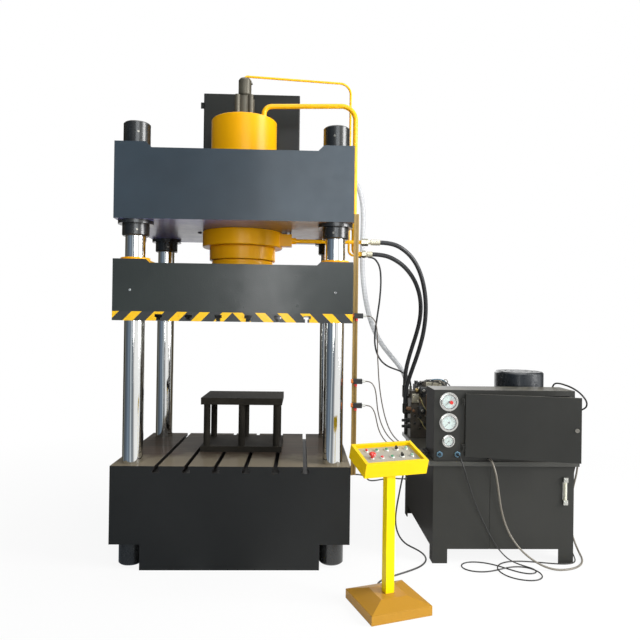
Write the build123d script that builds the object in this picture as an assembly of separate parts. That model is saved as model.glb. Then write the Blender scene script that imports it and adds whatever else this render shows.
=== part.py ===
from build123d import *
from math import cos, pi, radians, sin, sqrt, tan
import os

# Four-column hydraulic press with its power unit and control stand.
# Millimetres. X runs to the right, Y away from the operator, Z up.
# The origin is on the floor, under the centre of the press bed.

# General fits
bore_gap = 0.1
seat_gap = 0.3
edge_break = 6.0

# Press frame
frame_length = 1616.0
frame_depth = 1200.0
column_edge_x = 118.0
column_edge_y = 125.0
column_span_x = frame_length - 2 * column_edge_x
column_span_y = frame_depth - 2 * column_edge_y
column_diameter = 140.0
column_neck = 120.0
nut_diameter = 184.0
nut_chamfer = 8.0
bed_nut_diameter = 166.0

# Bed
bed_top = 697.0
bed_foot_inset = 205.0
bed_foot_length = frame_length - 2 * bed_foot_inset
bed_foot_height = 172.0
bed_nut_bottom = 12.0

# T-slots of the bed and the slide
slot_count = 6
slot_pitch = 200.0
slot_width = 28.0
slot_neck_depth = 24.0
slot_head_width = 48.0
slot_head_depth = 21.0

# Crown
crown_bottom = 2358.0
crown_height = 480.0
crown_ear_height = 39.0
crown_ear_length = 208.0
top_nut_height = 153.0
lock_nut_height = 81.0
lock_ring_diameter = 240.0
lock_ring_height = 25.0
column_end_recess = 6.0

# Slide
slide_bottom = 1672.0
slide_height = 390.0
slide_ear_height = 25.0
slide_ear_length = 220.0
guide_flange_diameter = 200.0
guide_flange_height = 16.0
guide_sleeve_diameter = 170.0
guide_sleeve_length = 160.0
slide_running_gap = 0.1

# Cylinder and ram
barrel_diameter = 500.0
barrel_top = 3215.0
barrel_edge = 4.0
port_bore = 20.0
pressing_port_bore = 26.0
port_clearance = 10.0
barrel_bore = 400.0
barrel_cap = 90.0
barrel_flange_diameter = 611.0
barrel_flange_height = 119.0
gland_diameter = 503.0
gland_height = 100.0
gland_spigot = 40.0
ram_diameter = 360.0
ram_running_gap = 0.1
ram_spigot = 30.0
ram_flange_diameter = 467.0
ram_flange_clearance = 3.0
piston_height = 150.0
piston_top_gap = 30.0
seal_width = 22.0
seal_depth = 9.0
port_block_width = 84.0
port_block_height = 90.0
port_block_reach = 380.0
port_axis_y = -70.0
port_drop = 63.0
port_axis_z = crown_bottom - port_drop

# Prefill valve and tank on the crown
prefill_bore = 120.0
prefill_flange_diameter = 196.0
prefill_flange_height = 26.0
prefill_body_diameter = 132.0
prefill_body_height = 190.0
prefill_post_diameter = 42.0
prefill_post_circle = 144.0
pilot_cylinder_diameter = 100.0
pilot_cylinder_height = 148.0
prefill_tank_length = 785.0
prefill_tank_depth = 338.0
prefill_tank_height = 697.0
prefill_tank_centre_x = 33.0
prefill_tank_wall = 5.0
prefill_tank_corner = 10.0

# Pipes
pilot_pipe_diameter = 18.0
pilot_pipe_standoff = 22.0
pilot_pipe_x = frame_length / 2 + pilot_pipe_standoff
pilot_pipe_y = 100.0
pilot_pipe_rise = 22.0
pilot_pipe_top = barrel_top + prefill_body_height + pilot_cylinder_height + pilot_pipe_rise
pilot_pipe_bends = (20.0, 85.0, 40.0)
pressing_pipe_diameter = 38.0
pressing_pipe_start_x = 150.0
pressing_pipe_standoff = 54.0
pressing_pipe_x = frame_length / 2 + pressing_pipe_standoff
pressing_pipe_lift = 130.0
pressing_pipe_top = barrel_top + pressing_pipe_lift
pressing_pipe_bends = (60.0, 110.0, 40.0)
pressing_union_rise = 38.0
pressing_union_height = 56.0
pressing_union_wall = 7.0
pressing_collar_height = 12.0
pressing_collar_wall = 10.0
pressing_pipe_rise = 20.0
return_pipe_diameter = 30.0
side_line_drop = 146.0
side_line_z = crown_bottom - side_line_drop
pilot_line_reach = 70.0
pilot_line_x = pilot_pipe_x + pilot_line_reach
pressing_line_reach = 62.0
pressing_line_x = pressing_pipe_x + pressing_line_reach
return_line_reach = 104.0
return_line_x = frame_length / 2 + return_line_reach
return_union_length = 144.0
pressing_end_length = 82.0
pilot_end_length = 85.0

# Limit rail beside the slide
rail_width = 34.0
rail_thickness = 24.0
rail_gap = 14.0
rail_edge = 150.0
rail_y = rail_edge - frame_depth / 2
rail_low_lap = 87.0
rail_high_lap = 82.0
rail_bottom = bed_top - rail_low_lap
rail_top = crown_bottom + rail_high_lap
rail_groove = 12.0
rail_bracket_height = 60.0
switch_heights = (1725.0, 1269.0, 1101.0)
switch_ring = 30.0
switch_standoff = 20.0
switch_body_start = frame_length / 2 + switch_standoff
switch_body_length = 62.0
switch_body_height = 36.0
switch_body_depth = 40.0
switch_gland_length = 24.0
switch_reach = switch_body_start + switch_body_length + switch_gland_length
switch_clearance = 5.0

# Riser table that rests on the bed
riser_length = 606.0
riser_depth = 460.0
riser_centre_x = 22.0
riser_centre_y = 80.0
riser_height = 403.0
riser_top_plate = 50.0
riser_base_plate = 42.0
riser_pillar_diameter = 50.0
riser_pillar_inset = 42.0

# Power unit
tank_left = 1400.0
tank_length = 1000.0
tank_front = -480.0
tank_depth = 1100.0
tank_bottom = 100.0
tank_top = 705.0
tank_wall = 6.0
leg_length = 105.0
leg_depth = 95.0
leg_wall = 8.0
lid_overhang = 30.0
lid_front_overhang = 20.0
lid_plate = 10.0
lid_skirt = 30.0
lid_skirt_wall = 4.0
seam_inset = 395.0
seam_x = tank_left + seam_inset
seam_width = 8.0
seam_depth = 2.0

# Level gauge on the tank front
level_inset = 66.0
level_x = tank_left + tank_length - level_inset
level_bottom = 416.0
level_height = 192.0
level_width = 32.0
level_thickness = 22.0

# Enclosure with the gauge panel and the door
enclosure_depth = 260.0
enclosure_height = 500.0
enclosure_wall = 4.0
partition_inset = 194.0
partition_x = tank_left + partition_inset
door_hinge_inset = 208.0
door_hinge_x = tank_left + door_hinge_inset
door_end_inset = 23.0
door_length = tank_length - door_hinge_inset - door_end_inset
door_bottom = 752.0
door_height = 439.0
door_thickness = 18.0
door_sheet = 3.0
door_gap = 1.5
door_border = 14.0
door_ajar = 14.5
hinge_pin_diameter = 10.0
hinge_height = 46.0
hinge_inset = 60.0
lock_inset = 28.0
lock_head_diameter = 28.0
lock_shaft_diameter = 16.0
lock_running_gap = 0.1

# Pressure gauges
gauge_inset = 104.0
gauge_x = tank_left + gauge_inset
gauge_large = 132.0
gauge_small = 88.0
gauge_heights = (1132.0, 986.0, 856.0)
gauge_flange_thickness = 4.0
gauge_bezel_height = 15.0
gauge_body_depth = 42.0
arbor_diameter = 4.0
arbor_running_gap = 0.1

# Motor and pump
motor_inset = 227.0
motor_x = tank_left + tank_length - motor_inset
motor_y = 0.0
motor_flange_diameter = 400.0
motor_flange_height = 22.0
motor_bolt_square = 250.0
motor_bolt_head = 30.0
motor_bolt_height = 13.0
motor_body_diameter = 318.0
motor_body_top = 1168.0
motor_fin_count = 28
motor_fin_height = 18.0
motor_fin_thickness = 5.0
motor_bore = 200.0
rotor_air_gap = 1.5
motor_shaft_diameter = 48.0
shaft_running_gap = 0.08
fan_cover_diameter = 368.0
fan_cover_top = 1315.0
fan_cover_wall = 3.0
fan_diameter = 300.0
fan_blade_count = 8
pump_bell_diameter = 220.0
pump_bell_height = 140.0
pump_diameter = 170.0
pump_height = 190.0
strainer_diameter = 110.0
strainer_height = 150.0

# Manifold and valves at the back left of the tank lid
manifold_overhang = 12.0
manifold_x = tank_left - manifold_overhang
manifold_inset = 275.0
manifold_y = tank_front + tank_depth - manifold_inset
manifold_length = 132.0
manifold_width = 130.0
manifold_height = 397.0
base_block_length = 190.0
base_block_height = 230.0
hose_inlet_heights = (220.0, 345.0)
screw_valve_heights = (120.0, 250.0, 370.0)
left_plug_heights = (90.0, 140.0)
valve_length = 64.0
valve_depth = 50.0
valve_height = 46.0
coil_size = 46.0
coil_cap_diameter = 28.0
coil_cap_length = 22.0
coil_plug_size = 28.0
valve_inset = 45.0
valve_pitch = 90.0

# Control stand
stand_x = 994.6
stand_y = -1110.8
stand_turn = 18.7
stand_base_length = 385.0
stand_base_depth = 368.0
stand_skirt = 55.0
stand_flat = 170.0
stand_base_height = 89.0
stand_sheet = 4.0
post_width = 54.4
box_length = 403.0
box_depth = 235.0
box_height = 89.0
box_tilt = 18.1
box_centre_z = 870.0
box_offset = 14.7
box_rim = 20.0
box_recess = 22.0
box_ledge = 12.0
panel_thickness = 3.0
button_pitch_x = 66.0
button_row_back = 60.0
button_row_front = -21.0
button_shift = 10.0
button_hole = 22.4
bezel_diameter = 31.0
bezel_height = 7.0
button_running_gap = 0.1

# Hoses and cables
pressure_hose = 34.0
pilot_hose_diameter = 14.0
clear_hose_diameter = 40.0
sensor_cable = 8.0
earth_lead_diameter = 10.0
stand_cable_diameter = 12.0
stand_cable_place = 50.0
stand_cable_reach = 20.0
thin_cable = 9.0
thick_cable = 14.0
motor_cable_diameter = 12.0
gland_reach = 30.0
panel_gland_reach = 28.0


def block(x0, x1, y0, y1, z0, z1):
    centre = Pos((x0 + x1) / 2, (y0 + y1) / 2, (z0 + z1) / 2)
    return centre * Box(x1 - x0, y1 - y0, z1 - z0)


def upright(x, y, z0, z1, diameter):
    return Pos(x, y, (z0 + z1) / 2) * Cylinder(diameter / 2, z1 - z0)


def along_x(x0, x1, y, z, diameter):
    return Pos((x0 + x1) / 2, y, z) * Rot(0, 90, 0) * Cylinder(diameter / 2, x1 - x0)


def along_y(x, y0, y1, z, diameter):
    return Pos(x, (y0 + y1) / 2, z) * Rot(90, 0, 0) * Cylinder(diameter / 2, y1 - y0)


def hexagon_along_x(x0, x1, y, z, across):
    section = RegularPolygon(across / sqrt(3), 6)
    return extrude(Plane((x0, y, z), z_dir=(1, 0, 0)) * section, x1 - x0)


def corners(span_x, span_y):
    return [(sx * span_x / 2, sy * span_y / 2) for sx in (-1, 1) for sy in (-1, 1)]


def turned(profile):
    outline = make_face(Plane.XZ * Polyline(*profile, close=True))
    return revolve(outline, Axis.Z)


def pipe(points, radii, diameter):
    route = FilletPolyline(*points, radius=radii)
    section = Plane(route @ 0, z_dir=route % 0) * Circle(diameter / 2)
    return sweep(section, path=route)


def cord(name, points, diameter):
    # Each arc takes nine tenths of the shorter of the two runs it joins.
    radii = []
    for before, corner, after in zip(points, points[1:], points[2:]):
        run_in = Vector(*corner) - Vector(*before)
        run_out = Vector(*after) - Vector(*corner)
        half_turn = radians(run_in.get_angle(run_out)) / 2
        radii.append(0.45 * min(run_in.length, run_out.length) / tan(half_turn))
    route = FilletPolyline(*points, radius=radii)
    section = Plane(route @ 0, z_dir=route % 0) * Circle(diameter / 2)
    tube = sweep(section, path=route)
    share = tube.volume / (pi * diameter**2 / 4 * route.length)
    smallest = min(radii) / diameter
    print(f"{name}: length {route.length:.0f}, smallest radius {smallest:.1f} diameters, volume share {share:.4f}")
    return tube


def beam_outline(bottom, height, ear_height, ear_length):
    end = frame_length / 2
    inner = end - ear_length
    top = bottom + height
    step = ear_height
    return [(-end, bottom), (end, bottom), (end, top + ear_height), (inner, top + ear_height),
            (inner - step, top), (-inner + step, top), (-inner, top + ear_height), (-end, top + ear_height)]


def beam(bottom, height, ear_height, ear_length):
    outline = make_face(Plane.XZ * Polyline(*beam_outline(bottom, height, ear_height, ear_length),
                                            close=True))
    return extrude(outline, frame_depth / 2, both=True)


def slot_places():
    return [(i - (slot_count - 1) / 2) * slot_pitch for i in range(slot_count)]


def t_slots(face, inward):
    # The slots run from front to back, and inward is -1 below a top face and +1 above an underside.
    reach = frame_depth / 2
    neck = face + inward * slot_neck_depth
    floor = neck + inward * slot_head_depth
    cut = Part()
    for x in slot_places():
        cut += block(x - slot_width / 2, x + slot_width / 2, -reach, reach, min(face, neck),
                     max(face, neck))
        cut += block(x - slot_head_width / 2, x + slot_head_width / 2, -reach, reach, min(neck, floor),
                     max(neck, floor))
    return cut


# Press frame


def bed():
    end = frame_length / 2
    side = frame_depth / 2
    body = block(-end, end, -side, side, bed_foot_height, bed_top)
    body += block(-bed_foot_length / 2, bed_foot_length / 2, -side, side, 0, bed_foot_height)
    body -= t_slots(bed_top, -1)
    for x, y in corners(column_span_x, column_span_y):
        body -= upright(x, y, bed_foot_height, bed_top, column_neck + 2 * bore_gap)
    return body


def columns():
    top = crown_bottom + crown_height + crown_ear_height + top_nut_height - column_end_recess
    one = upright(0, 0, bed_nut_bottom + column_end_recess, bed_top, column_neck)
    one += upright(0, 0, bed_top, top, column_diameter)
    one = chamfer(one.edges().group_by(Axis.Z)[-1], edge_break)
    return Compound([Pos(x, y, 0) * one for x, y in corners(column_span_x, column_span_y)])


def round_nut(bottom, top, bore, diameter, chamfered_top):
    outer = diameter / 2
    if chamfered_top:
        profile = [(bore / 2, bottom), (outer, bottom), (outer, top - nut_chamfer),
                   (outer - nut_chamfer, top), (bore / 2, top)]
    else:
        profile = [(bore / 2, bottom), (outer - nut_chamfer, bottom), (outer, bottom + nut_chamfer),
                   (outer, top), (bore / 2, top)]
    return turned(profile)


def column_nuts():
    bore = column_diameter + 2 * bore_gap
    ears = crown_bottom + crown_height + crown_ear_height
    top_nut = round_nut(ears, ears + top_nut_height, bore, nut_diameter, True)
    lock_bottom = crown_bottom - lock_ring_height - lock_nut_height
    lock_nut = round_nut(lock_bottom, crown_bottom, bore, nut_diameter, False)
    lock_nut += turned([(bore / 2, crown_bottom - lock_ring_height),
                        (lock_ring_diameter / 2, crown_bottom - lock_ring_height),
                        (lock_ring_diameter / 2, crown_bottom), (bore / 2, crown_bottom)])
    bed_nut = round_nut(bed_nut_bottom, bed_foot_height, column_neck + 2 * bore_gap, bed_nut_diameter,
                        False)
    nuts = []
    for x, y in corners(column_span_x, column_span_y):
        nuts += [Pos(x, y, 0) * nut for nut in (top_nut, lock_nut, bed_nut)]
    return Compound(nuts)


def crown():
    body = beam(crown_bottom, crown_height, crown_ear_height, crown_ear_length)
    top = crown_bottom + crown_height + crown_ear_height
    body -= upright(0, 0, crown_bottom, top, barrel_diameter + 2 * bore_gap)
    for x, y in corners(column_span_x, column_span_y):
        body -= upright(x, y, crown_bottom, top, column_diameter + 2 * bore_gap)
    return body


def slide():
    body = beam(slide_bottom, slide_height, slide_ear_height, slide_ear_length)
    body -= t_slots(slide_bottom, 1)
    face = slide_bottom + slide_height
    body -= upright(0, 0, face - ram_spigot, face, ram_diameter + 2 * bore_gap)
    for x, y in corners(column_span_x, column_span_y):
        body -= upright(x, y, slide_bottom, face + slide_ear_height, guide_sleeve_diameter + 2 * bore_gap)
    return body


def slide_bushings():
    inner = column_diameter / 2 + slide_running_gap
    sleeve = guide_sleeve_diameter / 2
    ear = slide_bottom + slide_height + slide_ear_height
    rim = ear + guide_flange_height
    flange = guide_flange_diameter / 2
    upper = turned([(inner, ear - guide_sleeve_length), (sleeve, ear - guide_sleeve_length), (sleeve, ear),
                    (flange, ear), (flange, rim - 3), (flange - 3, rim), (inner, rim)])
    lower = turned([(inner, slide_bottom), (sleeve, slide_bottom),
                    (sleeve, slide_bottom + guide_sleeve_length),
                    (inner, slide_bottom + guide_sleeve_length)])
    rings = []
    for x, y in corners(column_span_x, column_span_y):
        rings += [Pos(x, y, 0) * upper, Pos(x, y, 0) * lower]
    return Compound(rings)


# Cylinder, ram and prefill valve


def gland_top():
    return crown_bottom - barrel_flange_height


def cylinder_barrel():
    outer = barrel_diameter / 2
    bore = barrel_bore / 2
    flange = barrel_flange_diameter / 2
    foot = gland_top()
    ceiling = barrel_top - barrel_cap
    edge = barrel_edge
    body = turned([(bore, foot), (flange - edge, foot), (flange, foot + edge),
                   (flange, crown_bottom - edge), (flange - edge, crown_bottom),
                   (outer, crown_bottom), (outer, barrel_top - edge_break), (outer - edge_break,
                       barrel_top),
                   (prefill_bore / 2, barrel_top), (prefill_bore / 2, ceiling), (bore, ceiling)])
    half = port_block_width / 2
    port = block(0, port_block_reach, port_axis_y - half, port_axis_y + half,
                 port_axis_z - port_block_height / 2, port_axis_z + port_block_height / 2)
    port -= upright(0, 0, foot, crown_bottom, barrel_flange_diameter - 2 * port_clearance)
    body += port
    body -= along_x(bore - port_clearance, port_block_reach, port_axis_y, port_axis_z, port_bore)
    body -= upright(pressing_pipe_start_x, 0, ceiling, barrel_top, pressing_port_bore)
    return body


def cylinder_gland():
    top = gland_top()
    outer = gland_diameter / 2
    inner = ram_diameter / 2 + ram_running_gap
    spigot = barrel_bore / 2 - bore_gap
    bottom = top - gland_height
    return turned([(inner, bottom), (outer - 4, bottom), (outer, bottom + 4), (outer, top), (spigot, top),
                   (spigot, top + gland_spigot), (inner, top + gland_spigot)])


def piston_span():
    top = barrel_top - barrel_cap - piston_top_gap
    return top - piston_height, top


def seal_bottoms():
    low, high = piston_span()
    return (low + 24, high - 24 - seal_width)


def ram():
    low, high = piston_span()
    rod = ram_diameter / 2
    head = barrel_bore / 2 - ram_running_gap
    body = turned([(0, slide_bottom + slide_height - ram_spigot),
                   (rod - edge_break, slide_bottom + slide_height - ram_spigot),
                   (rod, slide_bottom + slide_height - ram_spigot + edge_break), (rod, low), (head,
                       low), (head, high - edge_break),
                   (head - edge_break, high), (0, high)])
    groove = head - seal_depth
    for bottom in seal_bottoms():
        body -= turned([(groove, bottom), (head + 5, bottom), (head + 5, bottom + seal_width),
                        (groove, bottom + seal_width)])
    return body


def piston_seals():
    head = barrel_bore / 2 - ram_running_gap
    groove = head - seal_depth
    rings = []
    for bottom in seal_bottoms():
        rings.append(turned([(groove, bottom), (head, bottom), (head, bottom + seal_width),
                             (groove, bottom + seal_width)]))
    return Compound(rings)


def ram_flange():
    bottom = slide_bottom + slide_height
    top = gland_top() - gland_height - ram_flange_clearance
    inner = ram_diameter / 2 + bore_gap
    outer = ram_flange_diameter / 2
    return turned([(inner, bottom), (outer, bottom), (outer, top - 4), (outer - 4, top), (inner, top)])


def prefill_valve():
    ceiling = barrel_top - barrel_cap
    spigot = prefill_bore / 2 - bore_gap
    shelf = barrel_top + prefill_flange_height
    shoulder = barrel_top + prefill_body_height
    pilot = pilot_cylinder_diameter / 2
    pilot_top = shoulder + pilot_cylinder_height
    body = turned([(0, ceiling + 8), (spigot, ceiling + 8), (spigot, barrel_top),
                   (prefill_flange_diameter / 2, barrel_top),
                   (prefill_flange_diameter / 2, shelf), (prefill_body_diameter / 2,
                                                          shelf), (prefill_body_diameter / 2, shoulder),
                   (pilot - 16, shoulder), (pilot, shoulder + 26), (pilot, pilot_top - 14), (pilot - 10,
                       pilot_top), (0, pilot_top)])
    for i in range(4):
        angle = radians(45 + 90 * i)
        x = prefill_post_circle / 2 * cos(angle)
        y = prefill_post_circle / 2 * sin(angle)
        body += upright(x, y, shelf - 4, shoulder + 8, prefill_post_diameter)
    body += along_x(pilot - 4, pilot + 8, 0, pilot_top - 34, 18)
    body += along_x(prefill_body_diameter / 2 - 6, prefill_flange_diameter / 2 + 6, 0, shelf + 30, 34)
    return body


def prefill_tank():
    base = crown_bottom + crown_height
    x0 = prefill_tank_centre_x - prefill_tank_length / 2
    y1 = frame_depth / 2
    y0 = y1 - prefill_tank_depth
    body = block(x0, x0 + prefill_tank_length, y0, y1, base, base + prefill_tank_height)
    body = fillet(body.edges().filter_by(Axis.Z), prefill_tank_corner)
    w = prefill_tank_wall
    body -= block(x0 + w, x0 + prefill_tank_length - w, y0 + w, y1 - w, base + w,
                  base + prefill_tank_height - w)
    lug = block(x0 - 30, x0 + 1, y0 + 40, y0 + 46, base + prefill_tank_height - 110,
                base + prefill_tank_height - 60)
    body += lug
    return body


# Pipes on the press


def pilot_pipe():
    start = barrel_top + prefill_body_height + pilot_cylinder_height
    points = [(0, 0, start), (0, 0, pilot_pipe_top), (pilot_pipe_x, pilot_pipe_y, pilot_pipe_top),
              (pilot_pipe_x, pilot_pipe_y, side_line_z), (pilot_line_x, pilot_pipe_y, side_line_z)]
    return pipe(points, pilot_pipe_bends, pilot_pipe_diameter)


def pressing_pipe():
    points = [(pressing_pipe_start_x, 0, barrel_top), (pressing_pipe_start_x, 0, pressing_pipe_top),
              (pressing_pipe_x, 0, pressing_pipe_top + pressing_pipe_rise), (pressing_pipe_x, 0,
                  side_line_z), (pressing_line_x, 0, side_line_z)]
    body = pipe(points, pressing_pipe_bends, pressing_pipe_diameter)
    collar = pressing_pipe_diameter + 2 * pressing_collar_wall
    body += upright(pressing_pipe_start_x, 0, barrel_top, barrel_top + pressing_collar_height, collar)
    union = crown_bottom + pressing_union_rise
    body += upright(pressing_pipe_x, 0, union, union + pressing_union_height,
                    pressing_pipe_diameter + 2 * pressing_union_wall)
    return body


def return_pipe():
    body = along_x(port_block_reach, return_line_x, port_axis_y, port_axis_z, return_pipe_diameter)
    body += along_x(port_block_reach, port_block_reach + 34, port_axis_y, port_axis_z,
                    return_pipe_diameter + 18)
    return body


# Limit rail


def rail_left():
    return frame_length / 2 + rail_gap


def limit_rail():
    x0 = rail_left()
    y0 = rail_y - rail_thickness / 2
    y1 = rail_y + rail_thickness / 2
    body = block(x0, x0 + rail_width, y0, y1, rail_bottom, rail_top)
    middle = x0 + rail_width / 2
    body -= block(middle - rail_groove / 2, middle + rail_groove / 2, y0, y0 + 8, rail_bottom, rail_top)
    side = frame_length / 2
    body += block(side, x0 + rail_width, y1 - 10, y1, rail_bottom, rail_bottom + rail_bracket_height)
    body += block(side, x0 + rail_width, y1 - 10, y1, rail_top - rail_bracket_height, rail_top)
    return body


def switch_y():
    return rail_y - rail_thickness / 2 - switch_body_depth / 2


def limit_switches():
    # Body with the sensing ring toward the slide, a cap below and a cable gland on the right.
    switches = []
    y = switch_y()
    x0 = switch_body_start
    x1 = switch_body_start + switch_body_length
    for z in switch_heights:
        low = z - switch_body_height / 2
        one = block(x0, x1, y - switch_body_depth / 2, y + switch_body_depth / 2, low,
                    z + switch_body_height / 2)
        one = fillet(one.edges().filter_by(Axis.X), 4)
        one += along_x(frame_length / 2 + switch_clearance, x0, y, z, switch_ring)
        one += upright(x0 + 18, y, low - 18, low, 20)
        one += along_x(x1, switch_reach, y, z, 18)
        switches.append(one)
    return Compound(switches)


# Riser table


def riser_table():
    x0 = riser_centre_x - riser_length / 2
    y0 = riser_centre_y - riser_depth / 2
    x1 = x0 + riser_length
    y1 = y0 + riser_depth
    top = bed_top + riser_height
    body = block(x0, x1, y0, y1, bed_top, bed_top + riser_base_plate)
    body += block(x0, x1, y0, y1, top - riser_top_plate, top)
    inset = riser_pillar_inset
    for x in (x0 + inset, riser_centre_x, x1 - inset):
        for y in (y0 + inset, y1 - inset):
            body += upright(x, y, bed_top + riser_base_plate - 1, top - riser_top_plate + 1,
                            riser_pillar_diameter)
    return body


# Power unit


def oil_tank():
    x0 = tank_left
    x1 = tank_left + tank_length
    y0 = tank_front
    y1 = tank_front + tank_depth
    body = block(x0, x1, y0, y1, tank_bottom, tank_top)
    w = tank_wall
    body -= block(x0 + w, x1 - w, y0 + w, y1 - w, tank_bottom + w, tank_top)
    body -= block(seam_x, seam_x + seam_width, y0, y0 + seam_depth, tank_bottom, tank_top)
    for x, sx in ((x0, 1), (x1, -1)):
        for y, sy in ((y0, 1), (y1, -1)):
            far_x = x + sx * leg_length
            far_y = y + sy * leg_depth
            wall_x = x + sx * leg_wall
            wall_y = y + sy * leg_wall
            body += block(min(x, far_x), max(x, far_x), min(y, wall_y), max(y, wall_y), 0, tank_bottom)
            body += block(min(x, wall_x), max(x, wall_x), min(y, far_y), max(y, far_y), 0, tank_bottom)
    return body


def lid_top():
    return tank_top + lid_plate


def tank_lid():
    x0 = tank_left - lid_overhang
    x1 = tank_left + tank_length + lid_overhang
    y0 = tank_front - lid_front_overhang
    y1 = tank_front + tank_depth + lid_front_overhang
    body = block(x0, x1, y0, y1, lid_top() - lid_skirt, lid_top())
    w = lid_skirt_wall
    body -= block(x0 + w, x1 - w, y0 + w, y1 - w, lid_top() - lid_skirt, tank_top)
    body -= upright(motor_x, motor_y, tank_top, lid_top(), 120)
    return body


def level_gauge():
    half = level_width / 2
    y0 = tank_front - level_thickness
    z0 = level_bottom
    z1 = level_bottom + level_height
    body = block(level_x - half, level_x + half, y0, tank_front, z0, z0 + 34)
    body += block(level_x - half, level_x + half, y0, tank_front, z1 - 34, z1)
    body += block(level_x - half, level_x + half, tank_front - 6, tank_front, z0, z1)
    body += upright(level_x, y0 + 10, z0 + 30, z1 - 30, 18)
    for z in (z0 + 17, z1 - 17):
        body += along_y(level_x, y0 - 9, y0 + 1, z, 20)
    return body


def enclosure():
    x0 = tank_left
    x1 = tank_left + tank_length
    y0 = tank_front
    y1 = tank_front + enclosure_depth
    z0 = lid_top()
    z1 = z0 + enclosure_height
    w = enclosure_wall
    body = block(x0, x1, y0, y1, z0, z1)
    body -= block(x0 + w, partition_x - w / 2, y0 + w, y1 - w, z0 + w, z1 - w)
    body -= block(partition_x + w / 2, x1 - w, y0 + w, y1 - w, z0 + w, z1 - w)
    opening_x0 = door_hinge_x + door_border
    opening_x1 = door_hinge_x + door_length - door_border
    body -= block(opening_x0, opening_x1, y0, y0 + w, door_bottom + door_border,
                  door_bottom + door_height - door_border)
    for z, size in zip(gauge_heights, gauge_sizes()):
        body -= along_y(gauge_x, y0, y0 + w, z, gauge_body(size) + 2 * bore_gap)
    # Hinge knuckles on the fixed side, above and below each door knuckle.
    for z in hinge_centres():
        body += hinge_leaf(z)
    return body


def hinge_y():
    return tank_front - door_gap - door_thickness / 2


def hinge_centres():
    return (door_bottom + hinge_inset, door_bottom + door_height - hinge_inset)


def hinge_leaf(z):
    # A welded leaf with two knuckles and the pin that stands through them.
    x = door_hinge_x
    y = hinge_y()
    low = z - hinge_height / 2
    high = z + hinge_height / 2
    third = hinge_height / 3
    leaf = block(x - 14, x - 8, y, tank_front, low, high)
    leaf += block(x - 14, x, y - 3, y + 3, low, low + third - seat_gap)
    leaf += block(x - 14, x, y - 3, y + 3, high - third + seat_gap, high)
    leaf -= upright(x, y, z - third / 2 - seat_gap, z + third / 2 + seat_gap, 22)
    leaf += upright(x, y, low, low + third - seat_gap, hinge_pin_diameter + 6)
    leaf += upright(x, y, high - third + seat_gap, high, hinge_pin_diameter + 6)
    leaf += upright(x, y, low, high, hinge_pin_diameter - 2)
    return leaf


def ajar(part):
    axis = Axis((door_hinge_x, hinge_y(), 0), (0, 0, 1))
    return part.rotate(axis, -door_ajar)


def door_y():
    front = tank_front - door_gap - door_thickness
    return front, front + door_thickness


def lock_place():
    return door_hinge_x + door_length - lock_inset, door_bottom + door_height / 2


def cabinet_door():
    y0, y1 = door_y()
    x0 = door_hinge_x + 12
    x1 = door_hinge_x + door_length
    z0 = door_bottom
    z1 = door_bottom + door_height
    s = door_sheet
    body = block(x0, x1, y0, y1, z0, z1)
    body -= block(x0 + s, x1 - s, y0 + s, y1, z0 + s, z1 - s)
    lock_x, lock_z = lock_place()
    body -= along_y(lock_x, y0, y0 + s, lock_z, lock_shaft_diameter + 2 * lock_running_gap)
    third = hinge_height / 3
    for z in hinge_centres():
        knuckle = upright(door_hinge_x, hinge_y(), z - third / 2, z + third / 2, hinge_pin_diameter + 6)
        knuckle += block(door_hinge_x, x0 + 1, hinge_y() - 3, hinge_y() + 3, z - third / 2, z + third / 2)
        knuckle -= upright(door_hinge_x, hinge_y(), z - third / 2, z + third / 2,
                           hinge_pin_diameter - 2 + 2 * lock_running_gap)
        body += knuckle
    return ajar(body)


def door_lock():
    y0, y1 = door_y()
    x, z = lock_place()
    body = along_y(x, y0 - 6, y0 - seat_gap, z, lock_head_diameter)
    body += along_y(x, y0 - seat_gap, y0 + 12, z, lock_shaft_diameter)
    body -= block(x - 1.5, x + 1.5, y0 - 6, y0 - 3, z - 9, z + 9)
    body += block(x - 7, x + 7, y0 + 8, y0 + 12, z - 15, z + 8)
    return ajar(body)


def gauge_sizes():
    return (gauge_large, gauge_large, gauge_small)


def gauge_body(size):
    return 0.74 * size


def gauge_cases():
    cases = []
    for z, size in zip(gauge_heights, gauge_sizes()):
        face = tank_front
        rim = size / 2
        bezel = 0.86 * rim
        cup = 0.76 * rim
        depth = face + gauge_body_depth
        front = face - gauge_flange_thickness - gauge_bezel_height
        dial = face - gauge_flange_thickness
        case = along_y(gauge_x, face, depth, z, gauge_body(size))
        case += along_y(gauge_x, dial, face, z, size)
        case += along_y(gauge_x, front, dial, z, 2 * bezel)
        case -= along_y(gauge_x, front, dial, z, 2 * cup)
        case -= along_y(gauge_x, dial, dial + 10, z, arbor_diameter + 2 * arbor_running_gap)
        case += along_y(gauge_x, depth, depth + 22, z, 16)
        cases.append(case)
    return Compound(cases)


def pointer(z, size):
    dial = tank_front - gauge_flange_thickness
    reach = 0.3 * size
    hub = along_y(gauge_x, dial - 6, dial - 2, z, 0.09 * size)
    hub += along_y(gauge_x, dial - 2, dial + 9, z, arbor_diameter)
    needle = block(gauge_x - 1.2, gauge_x + 1.2, dial - 5, dial - 3.5, z - 0.25 * reach, z + reach)
    body = hub + needle
    return body.rotate(Axis((gauge_x, 0, z), (0, 1, 0)), -135)


# Motor and pump


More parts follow.
